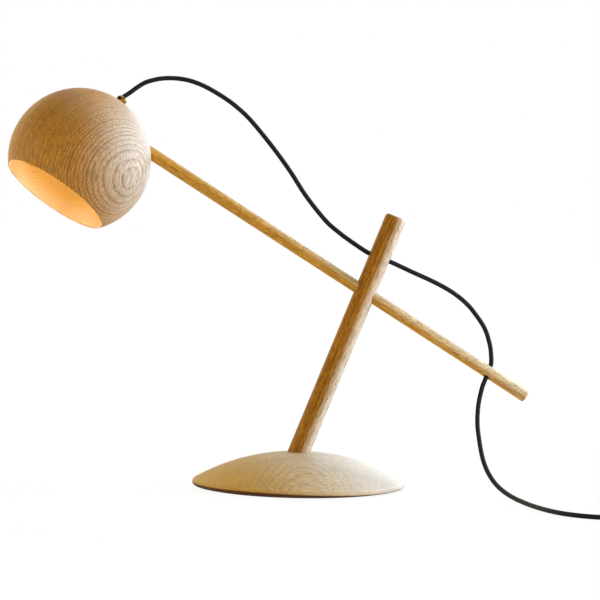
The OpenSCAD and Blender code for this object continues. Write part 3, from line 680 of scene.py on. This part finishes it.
def braid(name):
    """Textile cord: two sets of slanted yarns over and under each other, along the cord's own map"""
    yarns = 9.0
    finish = Finish(name)
    spot = finish.add("UVMap", uv_map="UVMap").outputs[0]
    along, girth, _ = finish.add("SeparateXYZ", {"Vector": spot}).outputs
    along, girth = (finish.math("MULTIPLY", value, yarns) for value in (along, girth))
    left, right = (
        finish.math("SINE", finish.math("MULTIPLY", finish.math(way, along, girth), math.tau))
        for way in ("ADD", "SUBTRACT"))
    weave = finish.remap(finish.math("MAXIMUM", left, right), -0.6, 1.0)
    fuzz = finish.noise(spot, (60, 40, 1), 3.0, 0.7)
    tone = finish.math("ADD", finish.remap(weave, 0, 1, 0.55, 1.15, False), finish.spread(fuzz, -0.15, 0.15))
    rough = finish.remap(weave, 0, 1, 0.8, 0.6, False)
    finish.set(base_color=finish.toned(colours().cord, tone), roughness=rough, specular_ior_level=0.2,
               sheen_weight=0.12, sheen_roughness=0.4, sheen_tint=(0.75, 0.82, 1.0))
    finish.bump(weave, 0.18 * MM, 0.6)
    return finish.material


# Cord

CORD_STEP = 3 * MM        # distance between the rings of a cord's tube
CORD_SIDES = 16
COIL_STEPS = 64           # points to a turn of the coil
AWAY = Vector((0, 1, 0))  # the way from the switch to the coil

# The route from grip to post, from post to arm and from arm to switch, in millimetres
UPPER_ROUTE = [
    (-207, 14, 461.5), (-200, 16, 467), (-192, 17.5, 472.5), (-184, 19, 476), (-172, 21, 479),
    (-159, 22, 480), (-145, 22, 479), (-132, 22, 476), (-115, 21, 469), (-92, 19, 455.5),
    (-74, 17, 441.5), (-60, 15, 427.5), (-37, 11, 400), (-16, 8, 372), (3, 5, 343.5),
    (26, 3, 315.5), (41.5, 2, 302), (56, 1, 291.5),
]
MIDDLE_ROUTE = [
    (129, 1, 256.5), (152, 3, 246.5), (170, 5, 237.5), (183.5, 7, 229), (195, 8, 219.5),
    (204, 9, 209.5), (216.5, 9, 191.5), (223, 8, 173), (225, 6, 158.5),
]
LOWER_ROUTE = [
    (214, -9, 122), (209.5, -17, 102.5), (208, -27, 82), (209.5, -38, 64), (212.5, -51, 45.5),
    (216.5, -64, 32.5), (222.5, -78, 21.5), (230.5, -95, 13), (242, -120, 6.5), (257, -159, 3),
    (271.5, -207, 3), (286.5, -237, 3), (304, -256, 3), (324.5, -267, 3), (346, -269, 3),
    (368, -264, 3), (388, -253, 3), (406, -237, 3), (420, -218, 4), (429, -201, 7),
]
# Where each of these is split in two, and the point given for the last one to stop following the arm, which
# the stretches do not use
UPPER_SPLIT, MIDDLE_SPLIT, LOWER_SPLIT = (-50, 13, 413), (183.5, 7, 229), (208.6, -21.5, 93)
LOWER_SETTLED = (208, -27, 3)

SWITCH_PLACE = Vector((0.432, -0.130, 0.0))
SWITCH_SIZE = Vector((0.062, 0.026, 0.018))
SWITCH_RELIEF = 0.022
PLUG_SIZE = Vector((0.035, 0.035, 0.0137))
PLUG_RELIEF = 0.030
LINK, TAIL = 0.034, 0.040     # cord between switch and coil, and between coil and plug
TIE, TIE_GAP = 0.0006, 0.0003


def metres(spot):
    return Vector(spot) * MM


def spline(points):
    """A smooth line through points, sampled about every step of the cord"""
    points = [Vector(p) for p in points]
    line = []
    for i in range(len(points) - 1):
        a, b, c, d = points[max(i - 1, 0)], points[i], points[i + 1], points[min(i + 2, len(points) - 1)]
        count = max(1, round((c - b).length / CORD_STEP))
        for k in range(count):
            t = k / count
            line.append(0.5 * (2 * b + (c - a) * t + (2 * a - 5 * b + 4 * c - d) * t * t
                               + (3 * b - a - 3 * c + d) * t * t * t))
    return line + [points[-1]]


def cord_tube(name, path, first, last):
    """A closed tube along a path, with its own map: along the cord, and round it"""
    radius = sizes().cord_diameter / 2
    angles = [math.tau * j / CORD_SIDES for j in range(CORD_SIDES)]
    bm = bmesh.new()
    uv = bm.loops.layers.uv.new("UVMap")
    heading = [first] + [(path[i + 1] - path[i - 1]).normalized() for i in range(1, len(path) - 1)] + [last]
    side = heading[0].orthogonal().normalized()
    rings, far = [], [0.0]
    for i, (spot, ahead) in enumerate(zip(path, heading)):
        side = (side - side.dot(ahead) * ahead).normalized()
        up = ahead.cross(side)
        rings.append([bm.verts.new(spot + radius * (math.cos(a) * side + math.sin(a) * up)) for a in angles])
        if i:
            far.append(far[-1] + (spot - path[i - 1]).length / (math.tau * radius))
    for i in range(len(rings) - 1):
        for j in range(CORD_SIDES):
            k = (j + 1) % CORD_SIDES
            face = bm.faces.new((rings[i][j], rings[i][k], rings[i + 1][k], rings[i + 1][j]))
            face.smooth = True
            corners = ((far[i], j), (far[i], j + 1), (far[i + 1], j + 1), (far[i + 1], j))
            for loop, (along, step) in zip(face.loops, corners):
                loop[uv].uv = (along, step / CORD_SIDES)
    bm.faces.new(reversed(rings[0]))
    bm.faces.new(rings[-1])
    mesh = bpy.data.meshes.new(name)
    bm.to_mesh(mesh)
    bm.free()
    piece = bpy.data.objects.new(name, mesh)
    bpy.context.scene.collection.objects.link(piece)
    return piece


class Coil:
    """Places of the spare cord's coil, the switch before it and the plug after it"""

    def __init__(self):
        s = sizes()
        d = s.cord_diameter
        self.pitch = d + s.coil_gap
        self.back = s.coil_turns / 2
        self.outer = s.coil_inner + self.pitch * self.back
        self.low = TIE + TIE_GAP + d / 2
        switch_end = SWITCH_SIZE.x / 2 + SWITCH_RELIEF
        self.switch_in = SWITCH_PLACE + Vector((0, -switch_end, SWITCH_SIZE.z / 2))
        self.switch_out = SWITCH_PLACE + Vector((0, switch_end, SWITCH_SIZE.z / 2))
        self.middle = Vector((SWITCH_PLACE.x - self.outer, self.switch_out.y + LINK + d, self.low))
        self.start = Vector((SWITCH_PLACE.x, self.middle.y - d, self.low))
        self.end = Vector((self.middle.x - self.outer, self.middle.y - d, self.low + self.pitch))
        self.plug_tip = Vector((self.end.x, self.end.y - TAIL, PLUG_SIZE.z / 2))

    def point(self, turns):
        """A point of the coil, which winds inwards, steps up and winds outwards again"""
        r = sizes().coil_inner + self.pitch * abs(turns - self.back)
        k = min(max((turns - self.back) * 2 + 0.5, 0), 1)
        angle, climb = math.tau * turns, self.pitch * (3 * k * k - 2 * k * k * k)
        return self.middle + Vector((r * math.cos(angle), r * math.sin(angle), climb))

    def path(self):
        """The spare cord from the switch through the coil to the plug"""
        s = sizes()
        straight = AWAY * s.cord_diameter
        link = spline([self.switch_out, self.switch_out + straight, self.start - straight, self.start])
        tail = spline([self.end, self.end - straight, self.plug_tip + straight, self.plug_tip])
        count = int(s.coil_turns * COIL_STEPS)
        return link + [self.point(i / COIL_STEPS) for i in range(count + 1)] + tail


class LAMP_OT_camera(bpy.types.Operator):
    """Sets the camera where the photograph was taken from"""

    bl_idname = "lamp.camera"
    bl_label = "Camera"

    def execute(self, context):
        pitch, roll = math.radians(2.2458), math.radians(1.0)
        aim, distance = Vector((-0.0019576, 0, 0.2209524)), 3.0
        ahead = Vector((0, math.cos(pitch), -math.sin(pitch)))
        right, up = Vector((1, 0, 0)), Vector((0, math.sin(pitch), math.cos(pitch)))
        side = right * math.cos(roll) + up * math.sin(roll)
        top = up * math.cos(roll) - right * math.sin(roll)
        camera = bpy.data.objects.new("camera", bpy.data.cameras.new("camera"))
        camera.data.lens = 152.8
        camera.data.sensor_width = 36
        camera.data.clip_end = 100
        context.scene.collection.objects.link(camera)
        turned = Matrix((side, top, -ahead)).transposed().to_4x4()
        camera.matrix_world = Matrix.Translation(aim - distance * ahead) @ turned
        context.scene.camera = camera
        return {"FINISHED"}


class LAMP_OT_cord(bpy.types.Operator):
    """Lays the cord from the grip through post and arm to the switch, the coil and the plug"""

    bl_idname = "lamp.cord"
    bl_label = "Cord"

    def stretch(self, name, node, textile, path, split, first, last, near, far, settled=None):
        """Splits a stretch in two, at the point nearest to split

        near and far, the two bodies that each half goes between, are not used. Nor is settled, the point
        from which the second half would follow its last body, or else from its end.
        """
        at = min(range(len(path)), key=lambda i: (path[i] - metres(split)).length)
        ahead = (path[at + 1] - path[at - 1]).normalized()
        halves = (
            ("a", path[:at + 1], first, ahead, near, path[at]),
            ("b", path[at:], ahead, last, far, metres(settled) if settled else path[-1]),
        )
        for tag, part, begin, end, bodies, limit in halves:
            piece = cord_tube(f"{name}_{tag}", part, begin, end)
            piece.data.materials.append(textile)
            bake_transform(piece)
            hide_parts(node)

    def execute(self, context):
        s = sizes()
        d = s.cord_diameter
        textile = braid("cord_textile")
        coil = Coil()
        shade_up = direction(shade_frame(), (0, 0, 1))
        grip_exit = shade_frame() @ Vector((0, 0, grip_seat()[1] + s.grip_height))
        hole_way = direction(post_frame(), (1, 0, 0))
        post_hole = post_frame() @ Vector((0, 0, s.arm_height + s.cord_hole_rise))
        post_mouth = hole_way * (s.post_diameter / 2 + d / 2)
        arm_up = direction(arm_hole_frame(), (0, 0, 1))
        arm_hole = arm_hole_frame().translation
        arm_mouth = arm_up * (s.arm_diameter / 2 + d / 2)

        def laid(start, after, route, before, end):
            return spline([start, start + after, *map(metres, route), end + before, end])

        upper = laid(grip_exit, shade_up * d / 4, UPPER_ROUTE, -post_mouth, post_hole)
        middle = laid(post_hole, post_mouth, MIDDLE_ROUTE, arm_mouth, arm_hole)
        lower = laid(arm_hole, -arm_mouth, LOWER_ROUTE, -AWAY * d, coil.switch_in)
        self.stretch("cord_upper", "lead_upper", textile, upper, UPPER_SPLIT, shade_up, hole_way,
                     ("arm", "arm_sleeve"), ("arm_sleeve", "stand"))
        self.stretch("cord_middle", "lead_middle", textile, middle, MIDDLE_SPLIT, hole_way, -arm_up,
                     ("stand", "arm_sleeve"), ("arm_sleeve", "arm"))
        self.stretch("cord_lower", "lead_lower", textile, lower, LOWER_SPLIT, -arm_up, AWAY,
                     ("arm", "arm_sleeve"), ("arm_sleeve", "stand"), LOWER_SETTLED)
        spare = cord_tube("cord_coil", coil.path(), AWAY, -AWAY)
        finish_piece(spare, "stand", "cord", textile, "lead_link", "lead_coil", "lead_tail")
        paint(textile, "lead_inner")
        return {"FINISHED"}


class LAMP_OT_shade(bpy.types.Operator):
    """Turns the hollow ball and bores it for the arm"""

    bl_idname = "lamp.shade"
    bl_label = "Shade"

    def outline(self):
        """The ball's wall from the bore in its crown, over the outside and the mouth, to the inside"""
        s = sizes()
        big, hollow, drop, mouth = s.shade_diameter / 2, s.cavity_diameter / 2, s.cavity_drop, s.mouth_drop
        outer_edge, inner_edge = 0.0006, 0.0007
        bore, washer_seat = 0.00505, 0.012
        seat_r, seat_z = grip_seat()
        out_z = -mouth + outer_edge
        out_r = math.sqrt((big - outer_edge) ** 2 - out_z ** 2)
        in_z = -mouth + inner_edge
        in_r = math.sqrt((hollow + inner_edge) ** 2 - (in_z + drop) ** 2)
        out_at = math.atan2(out_z, out_r)
        in_at = math.atan2(in_z + drop, in_r)
        crown_in = hollow - drop
        return [
            (bore, crown_in), (bore, seat_z),
            *arc((0, 0), big, math.atan2(seat_z, seat_r), out_at, 90),
            *arc((out_r, out_z), outer_edge, out_at, -QUARTER, 8)[1:],
            *arc((in_r, in_z), inner_edge, -QUARTER, in_at - math.pi, 8),
            *arc((0, -drop), hollow, in_at, math.acos(washer_seat / hollow), 80)[1:],
            (washer_seat, crown_in), (bore, crown_in),
        ]

    def execute(self, context):
        s = sizes()
        c = colours()
        big = s.shade_diameter / 2
        piece = turn("shade_ball", self.outline(), shade_frame(), steps=160)
        socket = arm_frame() @ Matrix.Translation((-s.shade_reach + big, 0, 0)) @ turned_about("Y", QUARTER)
        bored(piece, socket, s.arm_diameter / 2 + CLOSE_FIT, big * 2)
        smooth(piece, 40)
        centre = shade_frame().translation
        up = direction(shade_frame(), (0, 0, 1))
        cavity = shade_frame() @ Vector((0, 0, -s.cavity_drop))
        mouth = cavity.dot(up) - (s.mouth_drop - s.cavity_drop)
        layer = Vector((0.725, -0.63, -0.25)).normalized()
        first_ring = centre + layer * (big - 0.95 * MM)
        # Painted light: the ball is paler on its right, where the strong light falls, from 62 mm to 4 mm
        # inside that limb
        rise = Vector((0.95, -0.3, 0.0)).normalized()
        reach = [(centre.dot(rise) + big) * PER_METRE - below for below in (62, 4)]
        wood = oak("oak_shade", c.shade_heart, c.shade_lit_side, (0.17, 0.0, 0.98), layer, first_ring, rise, reach,
                   pitch=2.7, lines=1.1, pores=1.2, flecks=1.25,
                   inside=(cavity, s.cavity_diameter / 2, up, mouth))
        finish_piece(piece, "arm", "oak", wood, "shade")
        return {"FINISHED"}


class LAMP_OT_stand(bpy.types.Operator):
    """Turns the post, and finishes the base, its felt, weight and fastenings"""

    bl_idname = "lamp.stand"
    bl_label = "Stand"

    def execute(self, context):
        s = sizes()
        c = colours()
        r = s.post_diameter / 2
        post = dowel("post_dowel", r, 4 * MM, -s.post_socket, s.post_length, post_frame(), steps=96)
        on_side = turned_about("Y", QUARTER)
        arm_at = post_frame() @ Matrix.Translation((0, 0, s.arm_height))
        cord_at = post_frame() @ Matrix.Translation((0, 0, s.arm_height + s.cord_hole_rise))
        lean = turned_about("Y", s.arm_slope - s.post_lean)
        bored(post, arm_at @ lean @ on_side, s.arm_diameter / 2 + BUSH_WALL, 4 * r)
        bored(post, cord_at @ on_side, s.cord_hole_diameter / 2, 4 * r)
        smooth(post)
        up = direction(post_frame(), (0, 0, 1))
        layer = Vector((-0.55, -0.8, 0.2))
        # Painted light: the post is paler towards its right edge, from 3 mm to 12 mm right of its axis, where
        # the strong light falls
        rise = Vector((0.9, -0.25, 0))
        rise = (rise - rise.dot(up) * up).normalized()
        reach = [crossing().dot(rise) * PER_METRE + beyond for beyond in (3, 12)]
        wood = oak("oak_post", c.post_heart, c.post_lit_side, up, layer - layer.dot(up) * up, (0.04, -0.013, 0.15),
                   rise, reach, pitch=3.2, lines=0.55, pores=1.5, streaks=0.16, sway=1.5, ripple=0.4,
                   flecks=1.1, gloss=0.3)
        finish_piece(post, "stand", "oak_dark", wood, "post")
        # Top of the painted shadow along the base's lower edge
        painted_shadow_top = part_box("base_felt")[1].z + 5.2 * MM
        # Painted light: the base is paler towards its right and top, where the strong light falls
        dome = oak("oak_base", c.base_heart, c.base_lit_side, (1, 0.04, 0), (0.03, -0.47, 0.88),
                   (0.014, -0.118, 0.016), (0.75, 0.1, 0.66), (-60, 75), pitch=1.0, lines=0.32, pores=0.85,
                   streaks=0.0, ripple=0.35, flecks=0.7, gloss=0.2, foot=painted_shadow_top)
        paint(dome, "base_dome")
        paint(felted("felt_grey", c.felt, 1400), "base_felt")
        steel = brushed("steel_plain", c.steel, 0.32)
        paint(steel, "base_weight", "weight_screws", "post_washer", "post_bolt", "arm_pin", "crown_tube",
              "crown_washer", "rocker_pin", "switch_screws")
        return {"FINISHED"}


class LAMP_OT_arm(bpy.types.Operator):
    """Turns the arm, bores it for the cord and finishes its bush"""

    bl_idname = "lamp.arm"
    bl_label = "Arm"

    def execute(self, context):
        s = sizes()
        c = colours()
        r = s.arm_diameter / 2
        lying = arm_frame() @ turned_about("Y", QUARTER)
        arm = dowel("arm_dowel", r, 2 * MM, -s.arm_inner, s.arm_tail, lying, steps=80)
        bored(arm, arm_hole_frame(), s.cord_hole_diameter / 2, 4 * r)
        smooth(arm)
        along = direction(arm_frame(), (1, 0, 0))
        layer = Vector((0.25, -0.75, -0.6))
        # Painted light: the arm is paler on its upper side, where the strong light falls
        rise = direction(sloped_frame(), (0.025, -0.2, 1))
        reach = [crossing().dot(rise) * PER_METRE + beyond for beyond in (-2, 8)]
        wood = oak("oak_arm", c.arm_heart, c.arm_lit_side, along, layer - layer.dot(along) * along,
                   (0.1, -0.0075, 0.2), rise, reach, pitch=3.0, lines=0.5, streaks=0.12, sway=1.2, ripple=0.2,
                   gloss=0.35)
        finish_piece(arm, "arm", "oak", wood, "arm")
        paint(moulded("bush_nylon", c.bush, 0.6), "arm_bush")
        return {"FINISHED"}


# Steps of the grip's outside, as distances from its full radius and heights from its seat, in millimetres
GRIP_STEPS = (
    (-0.1, 0), (0, 0.2), (0, 1.0), (-0.2, 1.2), (-0.7, 1.35), (-0.7, 1.75), (-0.35, 1.95), (-0.15, 2.3),
    (-0.15, 6.6), (-0.3, 7.1), (-1.5, 8.4), (-1.9, 8.9), (-2.3, 9.3), (-2.75, 9.5), (-3.2, 9.5),
)


class LAMP_OT_fittings(bpy.types.Operator):
    """Turns the brass grip and finishes the lampholder and the bulb"""

    bl_idname = "lamp.fittings"
    bl_label = "Grip, lampholder and bulb"

    def execute(self, context):
        s = sizes()
        c = colours()
        r, tall, hole = s.grip_diameter / 2, s.grip_height, s.cord_diameter / 2 + CLOSE_FIT
        steps_tall, mouth_edge = GRIP_STEPS[-1][1], 0.3 * MM
        outside = [(r + x * MM, z * tall / steps_tall) for x, z in GRIP_STEPS]
        outline = [(hole, 0), *outside, (hole, tall - mouth_edge), (hole, 0)]
        seat = shade_frame() @ Matrix.Translation((0, 0, grip_seat()[1]))
        grip = turn("grip_collar", outline, seat, steps=64)
        smooth(grip, 50)
        brass = brushed("brass_turned", c.brass, 0.26)
        finish_piece(grip, "arm", "brass", brass, "cord_grip")
        paint(brass, "post_insert", "crown_nut", "holder_sleeve", "holder_contact", "bulb_cap",
              "switch_contacts")
        paint(moulded("holder_black", c.plastic, 0.38), "holder_cap", "holder_body")
        paint(moulded("porcelain", c.porcelain, 0.5), "holder_core")
        paint(moulded("bulb_white", c.bulb_body, 0.45), "bulb_body", "bulb_board")
        paint(opal("bulb_opal"), "bulb_globe")
        return {"FINISHED"}


class LAMP_OT_cord_ends(bpy.types.Operator):
    bl_idname = "lamp.cord_ends"
    bl_label = "Switch, tie and plug"

    def relief(self, name, start, way, length):
        """A tapered strain relief, ringed so that it bends with the cord"""
        cord = sizes().cord_diameter / 2
        root, tip, rings, groove = cord + 2.2 * MM, cord + 0.6 * MM, 6, 0.55 * MM
        root_edge, tip_edge = 0.4 * MM, 0.3 * MM
        step = length / (rings + 2)

        def at(z, inset=0.0):
            return root + (tip - root) * z / length - inset, z

        outline = [(0, 0), (root - root_edge, 0), at(root_edge)]
        for ring in range(1, rings + 1):
            z = ring * step
            outline += [at(z), at(z + 0.1 * step, groove), at(z + 0.35 * step, groove), at(z + 0.45 * step)]
        outline += [at(length - tip_edge), at(length, 0.25 * MM), (cord, length)]
        outline += [(cord, length - MM), (0, length - MM)]
        lying = Matrix.Translation(start) @ turned_about("X", -way * QUARTER)
        return smooth(turn(name, outline, lying, steps=48))

    def shell(self, name, low, high, outer, rim):
        """Half of the switch's case, with round corners and a fine parting line

        outer is the height of its outer face, and rim the radius of the edge round it.
        """
        corner, parting = 6 * MM, 0.3 * MM
        inner = low.z + high.z - outer
        piece = block(name, low, high)
        eased(piece, corner, 8, lambda a, b: abs(a.z - b.z) > MM)
        eased(piece, rim, 4, lambda a, b: max(abs(a.z - outer), abs(b.z - outer)) < NEAR)
        eased(piece, parting, 1, lambda a, b: max(abs(a.z - inner), abs(b.z - inner)) < NEAR)
        return piece

    def switch(self, half, seam):
        """Both halves of the case: the lower is bored for screws and the upper is open for the rocker"""
        screw_head, screw_depth = 2.8 * MM, 2 * MM
        room, floor = Vector((5.3, 11, 0)) * MM, Vector((0, 0, 0.3 * MM))
        lower_rim, upper_rim, opening_edge = 0.8 * MM, 1.8 * MM, 0.4 * MM
        lower = self.shell("switch_lower", SWITCH_PLACE - half, SWITCH_PLACE + half + seam, 0, lower_rim)
        for side in (-1, 1):
            spot = SWITCH_PLACE + Vector((-8.6, 19 * side, 0)) * MM
            bored(lower, Matrix.Translation(spot), screw_head, screw_depth)
        upper = self.shell("switch_upper", SWITCH_PLACE - half + seam, SWITCH_PLACE + half + 2 * seam,
                           SWITCH_SIZE.z, upper_rim)
        low, high = SWITCH_PLACE - room + seam + floor, SWITCH_PLACE + room + 3 * seam
        cut_away(upper, block("rocker_room", low, high))

        def at_opening(v):
            away = v - SWITCH_PLACE
            beside = abs(away.x) < room.x + NEAR and abs(away.y) < room.y + NEAR
            return beside and abs(away.z - 2 * seam.z) < NEAR

        eased(upper, opening_edge, 2, lambda a, b: at_opening(a) and at_opening(b))
        return lower, upper

    def rocker(self):
        """The switch's rocker, dished for a thumb and tipped as at rest"""
        half, wide, low, high, dish, edge = 10 * MM, 5 * MM, -3 * MM, 5.2 * MM, MM, 0.6 * MM
        pivot, tip = SWITCH_PLACE + Vector((0, 0, SWITCH_SIZE.z - 4 * MM)), math.radians(-7)
        piece = block("rocker_cap", (-half, -wide, low), (half, wide, high))
        places = [half * i / 5 for i in range(-4, 5)]
        sliced(piece, places)
        for x in places:
            select_where(piece, "EDGE", lambda a, b: all(
                v.z > high - NEAR and abs(v.x - x) < NEAR for v in (a, b)))
            bpy.ops.transform.translate(value=(0, 0, -dish * (1 - (x / half) ** 2)))
            object_mode()
        softened(piece, edge, 3, 40)
        return place(piece, Matrix.Translation(pivot) @ turned_about("Z", QUARTER) @ turned_about("Y", tip))

    def plug(self, tip):
        """The plug's body: it widens from its neck, and has a shallow grip on each face"""
        neck, shoulder, face = PLUG_RELIEF, PLUG_RELIEF + PLUG_SIZE.x - 10 * MM, PLUG_RELIEF + PLUG_SIZE.x
        edge, margin, recess = 1.6 * MM, 2.4 * MM, 0.6 * MM
        half, thick = PLUG_SIZE.y / 2, PLUG_SIZE.z / 2
        neck_share = (1, 15 / 35, 11.4 / 13.7)
        piece = sliced(block("plug_shell", (neck, -half, -thick), (face, half, thick)), [shoulder])
        select_where(piece, "EDGE", lambda a, b: max(a.x, b.x) < neck + NEAR)
        bpy.ops.transform.resize(value=neck_share, center_override=(neck, 0, 0))
        object_mode()
        softened(piece, edge, 4, 15)
        select_where(piece, "FACE", lambda middle, normal: abs(normal.z) > 0.99 and middle.x < shoulder)
        bpy.ops.mesh.inset(thickness=margin, depth=0)
        bpy.ops.mesh.inset(thickness=recess, depth=-recess)
        object_mode()
        return place(piece, Matrix.Translation(tip) @ turned_about("Z", -QUARTER))

    def tie(self):
        """A looped band round the coil, closed on top"""
        corner = 3 * MM
        low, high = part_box("coil_tie")
        piece = block("tie_band", low, high)
        select_where(piece, "FACE", lambda middle, normal: abs(normal.x) > 0.9)
        bpy.ops.mesh.delete(type="FACE")
        object_mode()
        eased(piece, corner, 6, lambda a, b: abs(a.x - b.x) > MM)
        modified(piece, "SOLIDIFY", thickness=TIE, offset=-1)
        select_where(piece, "FACE", lambda middle, normal: normal.z > 0.9 and middle.z > high.z - 0.1 * MM)
        bpy.ops.mesh.extrude_region_move(TRANSFORM_OT_translate={"value": (0, 0, TIE)})
        object_mode()
        return piece

    def execute(self, context):
        c = colours()
        coil = Coil()
        black = moulded("shell_black", c.plastic, 0.5)
        soft = moulded("relief_soft", c.relief, 0.65)
        grey = moulded("rocker_grey", c.rocker, 0.4)
        half = Vector((SWITCH_SIZE.y / 2, SWITCH_SIZE.x / 2, 0))
        seam = Vector((0, 0, SWITCH_SIZE.z / 2))
        lower, upper = self.switch(half, seam)
        finish_piece(smooth(lower), "stand", "black_plastic", black, "switch_base")
        finish_piece(smooth(upper), "stand", "black_plastic", black, "switch_top")
        finish_piece(smooth(self.rocker()), "rocker", "rocker_plastic", grey, "switch_rocker")
        reliefs = [
            self.relief("relief_in", SWITCH_PLACE - Vector((0, half.y, -seam.z)), -1, SWITCH_RELIEF),
            self.relief("relief_out", SWITCH_PLACE + Vector((0, half.y, seam.z)), 1, SWITCH_RELIEF),
            self.relief("relief_plug", coil.plug_tip - AWAY * PLUG_RELIEF, 1, PLUG_RELIEF),
        ]
        for piece, node in zip(reliefs, ("switch_reliefs", "switch_reliefs", "plug_boot")):
            finish_piece(piece, "stand", "soft_black", soft, node)
        plug = finish_piece(smooth(self.plug(coil.plug_tip)), "stand", "black_plastic", black, "plug_body")
        tie = finish_piece(smooth(self.tie()), "stand", "tie", felted("tie_loop", c.tie, 2200), "coil_tie")
        paint(brushed("pin_nickel", c.nickel, 0.2), "plug_pins")
        return {"FINISHED"}


WARM, COOL, DAY = (1.0, 0.78, 0.44), (0.78, 0.86, 1.0), (0.92, 0.96, 1.0)

# Each light's name, place, width and height in metres, radiance and colour
LIGHTS = (
    ("left", (-2.2, 0.0, 0.7), (1.6, 1.6), 1.7, WARM),
    ("front", (0.2, -2.4, 0.9), (1.8, 1.4), 2.3, WARM),
    ("back_left", (-1.6, 1.7, 0.8), (1.6, 1.6), 1.8, WARM),
    ("top", (0.1, 0.1, 2.3), (1.6, 1.6), 1.55, DAY),
    ("right", (2.1, 0.1, 0.7), (1.6, 1.6), 5.6, COOL),
    ("right_back", (1.7, 1.5, 0.8), (1.6, 1.6), 2.4, COOL),
    ("back_right", (0.9, 2.2, 0.8), (1.4, 1.6), 2.4, COOL),
)


class LAMP_OT_stage(bpy.types.Operator):
    """Lays a pale floor and sets soft studio light, cool from the right and warm from the left"""

    bl_idname = "lamp.stage"
    bl_label = "Stage"

    def floor(self):
        """A pale floor that is seen as white, and takes a soft shadow round the lamp"""
        below = 0.5 * MM
        deselect()
        bpy.ops.mesh.primitive_plane_add(size=24, location=(0, 0, -below))
        floor = bpy.context.object
        floor.name = "floor"
        bpy.ops.object.transform_apply(location=True)
        finish = Finish("floor_pale")
        spot = finish.spot()
        mottle = finish.mix(finish.noise(spot, (3, 3, 3)), (0.78, 0.69, 0.56), (0.82, 0.73, 0.60))
        finish.set(base_color=mottle, roughness=0.9)
        rays = finish.add("LightPath").outputs
        seen = finish.math("ADD", rays["Is Camera Ray"], rays["Is Transmission Ray"], True)
        seen = finish.math("ADD", seen, finish.math("MULTIPLY", rays["Is Glossy Ray"], 0.5), True)
        away = finish.add("VectorMath", {0: spot}, operation="LENGTH").outputs["Value"]
        seen = finish.math("MULTIPLY", seen, finish.remap(away, 0.5, 1.1, 0.9, 1.0))
        glow = finish.add("Emission", {"Color": (1, 1, 1), "Strength": 1.04}).outputs[0]
        both = finish.add("MixShader", {0: seen, 1: finish.shader.outputs[0], 2: glow}).outputs[0]
        out = next(n for n in finish.tree.nodes if n.type == "OUTPUT_MATERIAL")
        finish.feed(out.inputs[0], both)
        floor.data.materials.append(finish.material)

    def surroundings(self, scene):
        """A room that is white to look at, and lights the lamp softly from its brighter side"""
        world = bpy.data.worlds.new("studio")
        scene.world = world
        world.use_nodes = True
        world.node_tree.nodes.clear()
        room = Nodes(world.node_tree)
        facing = room.dot(room.add("TexCoord").outputs["Generated"], Vector((0.8, 0.5, 0.1)).normalized())
        tone = room.mix(room.remap(facing, 0.0, 1.0), (0.06, 0.05, 0.035), (0.68, 0.75, 0.87))
        soft = room.add("Background", {0: tone}).outputs[0]
        white = room.add("Background", {0: (1, 1, 1)}).outputs[0]
        rays = room.add("LightPath").outputs
        gloss = room.math("MULTIPLY", rays["Is Glossy Ray"], room.remap(facing, -0.2, 0.6))
        seen = room.math("ADD", rays["Is Camera Ray"], rays["Is Transmission Ray"], True)
        seen = room.math("ADD", seen, gloss, True)
        both = room.add("MixShader", {0: seen, 1: soft, 2: white}).outputs[0]
        room.add("OutputWorld", {0: both})

    def softbox(self, scene, name, spot, size, radiance, tint):
        """A flat light that faces the middle of the lamp"""
        light = bpy.data.lights.new(name, "AREA")
        light.shape = "RECTANGLE"
        light.size, light.size_y = size
        light.energy = radiance * size[0] * size[1] * math.pi
        light.color = tint
        box = bpy.data.objects.new(name, light)
        scene.collection.objects.link(box)
        away = (Vector(spot) - Vector((0, 0, 0.25))).normalized()
        box.matrix_world = Matrix.Translation(spot) @ away.to_track_quat("Z", "Y").to_matrix().to_4x4()
        box.visible_camera = False

    def execute(self, context):
        self.floor()
        self.surroundings(context.scene)
        for light in LIGHTS:
            self.softbox(context.scene, *light)
        context.scene.view_settings.view_transform = "Standard"
        return {"FINISHED"}


class LAMP_PT_panel(bpy.types.Panel):
    """Lists the lamp's operators, sizes and colours"""

    bl_idname = "LAMP_PT_panel"
    bl_label = "Oak table lamp"
    bl_space_type = "VIEW_3D"
    bl_region_type = "UI"
    bl_category = "Lamp"

    def draw(self, context):
        for step in STEPS:
            self.layout.operator(step.bl_idname)
        for group in (context.scene.lamp_sizes, context.scene.lamp_colours):
            for key in group.bl_rna.properties.keys():
                if key not in ("rna_type", "name"):
                    self.layout.prop(group, key)


STEPS = (
    LAMP_OT_camera, LAMP_OT_cord, LAMP_OT_shade, LAMP_OT_stand, LAMP_OT_arm, LAMP_OT_fittings,
    LAMP_OT_cord_ends, LAMP_OT_stage,
)
CLASSES = (LampSizes, LampColours, *STEPS, LAMP_PT_panel)


def register():
    for cls in CLASSES:
        bpy.utils.register_class(cls)
    bpy.types.Scene.lamp_sizes = bpy.props.PointerProperty(type=LampSizes)
    bpy.types.Scene.lamp_colours = bpy.props.PointerProperty(type=LampColours)


def unregister():
    del bpy.types.Scene.lamp_colours
    del bpy.types.Scene.lamp_sizes
    for cls in reversed(CLASSES):
        bpy.utils.unregister_class(cls)


def main():
    register()
    bpy.ops.lamp.camera()
    bpy.ops.lamp.cord()
    bpy.ops.lamp.shade()
    bpy.ops.lamp.stand()
    bpy.ops.lamp.arm()
    bpy.ops.lamp.fittings()
    bpy.ops.lamp.cord_ends()
    bpy.ops.lamp.stage()


if __name__ == "__main__":
    main()
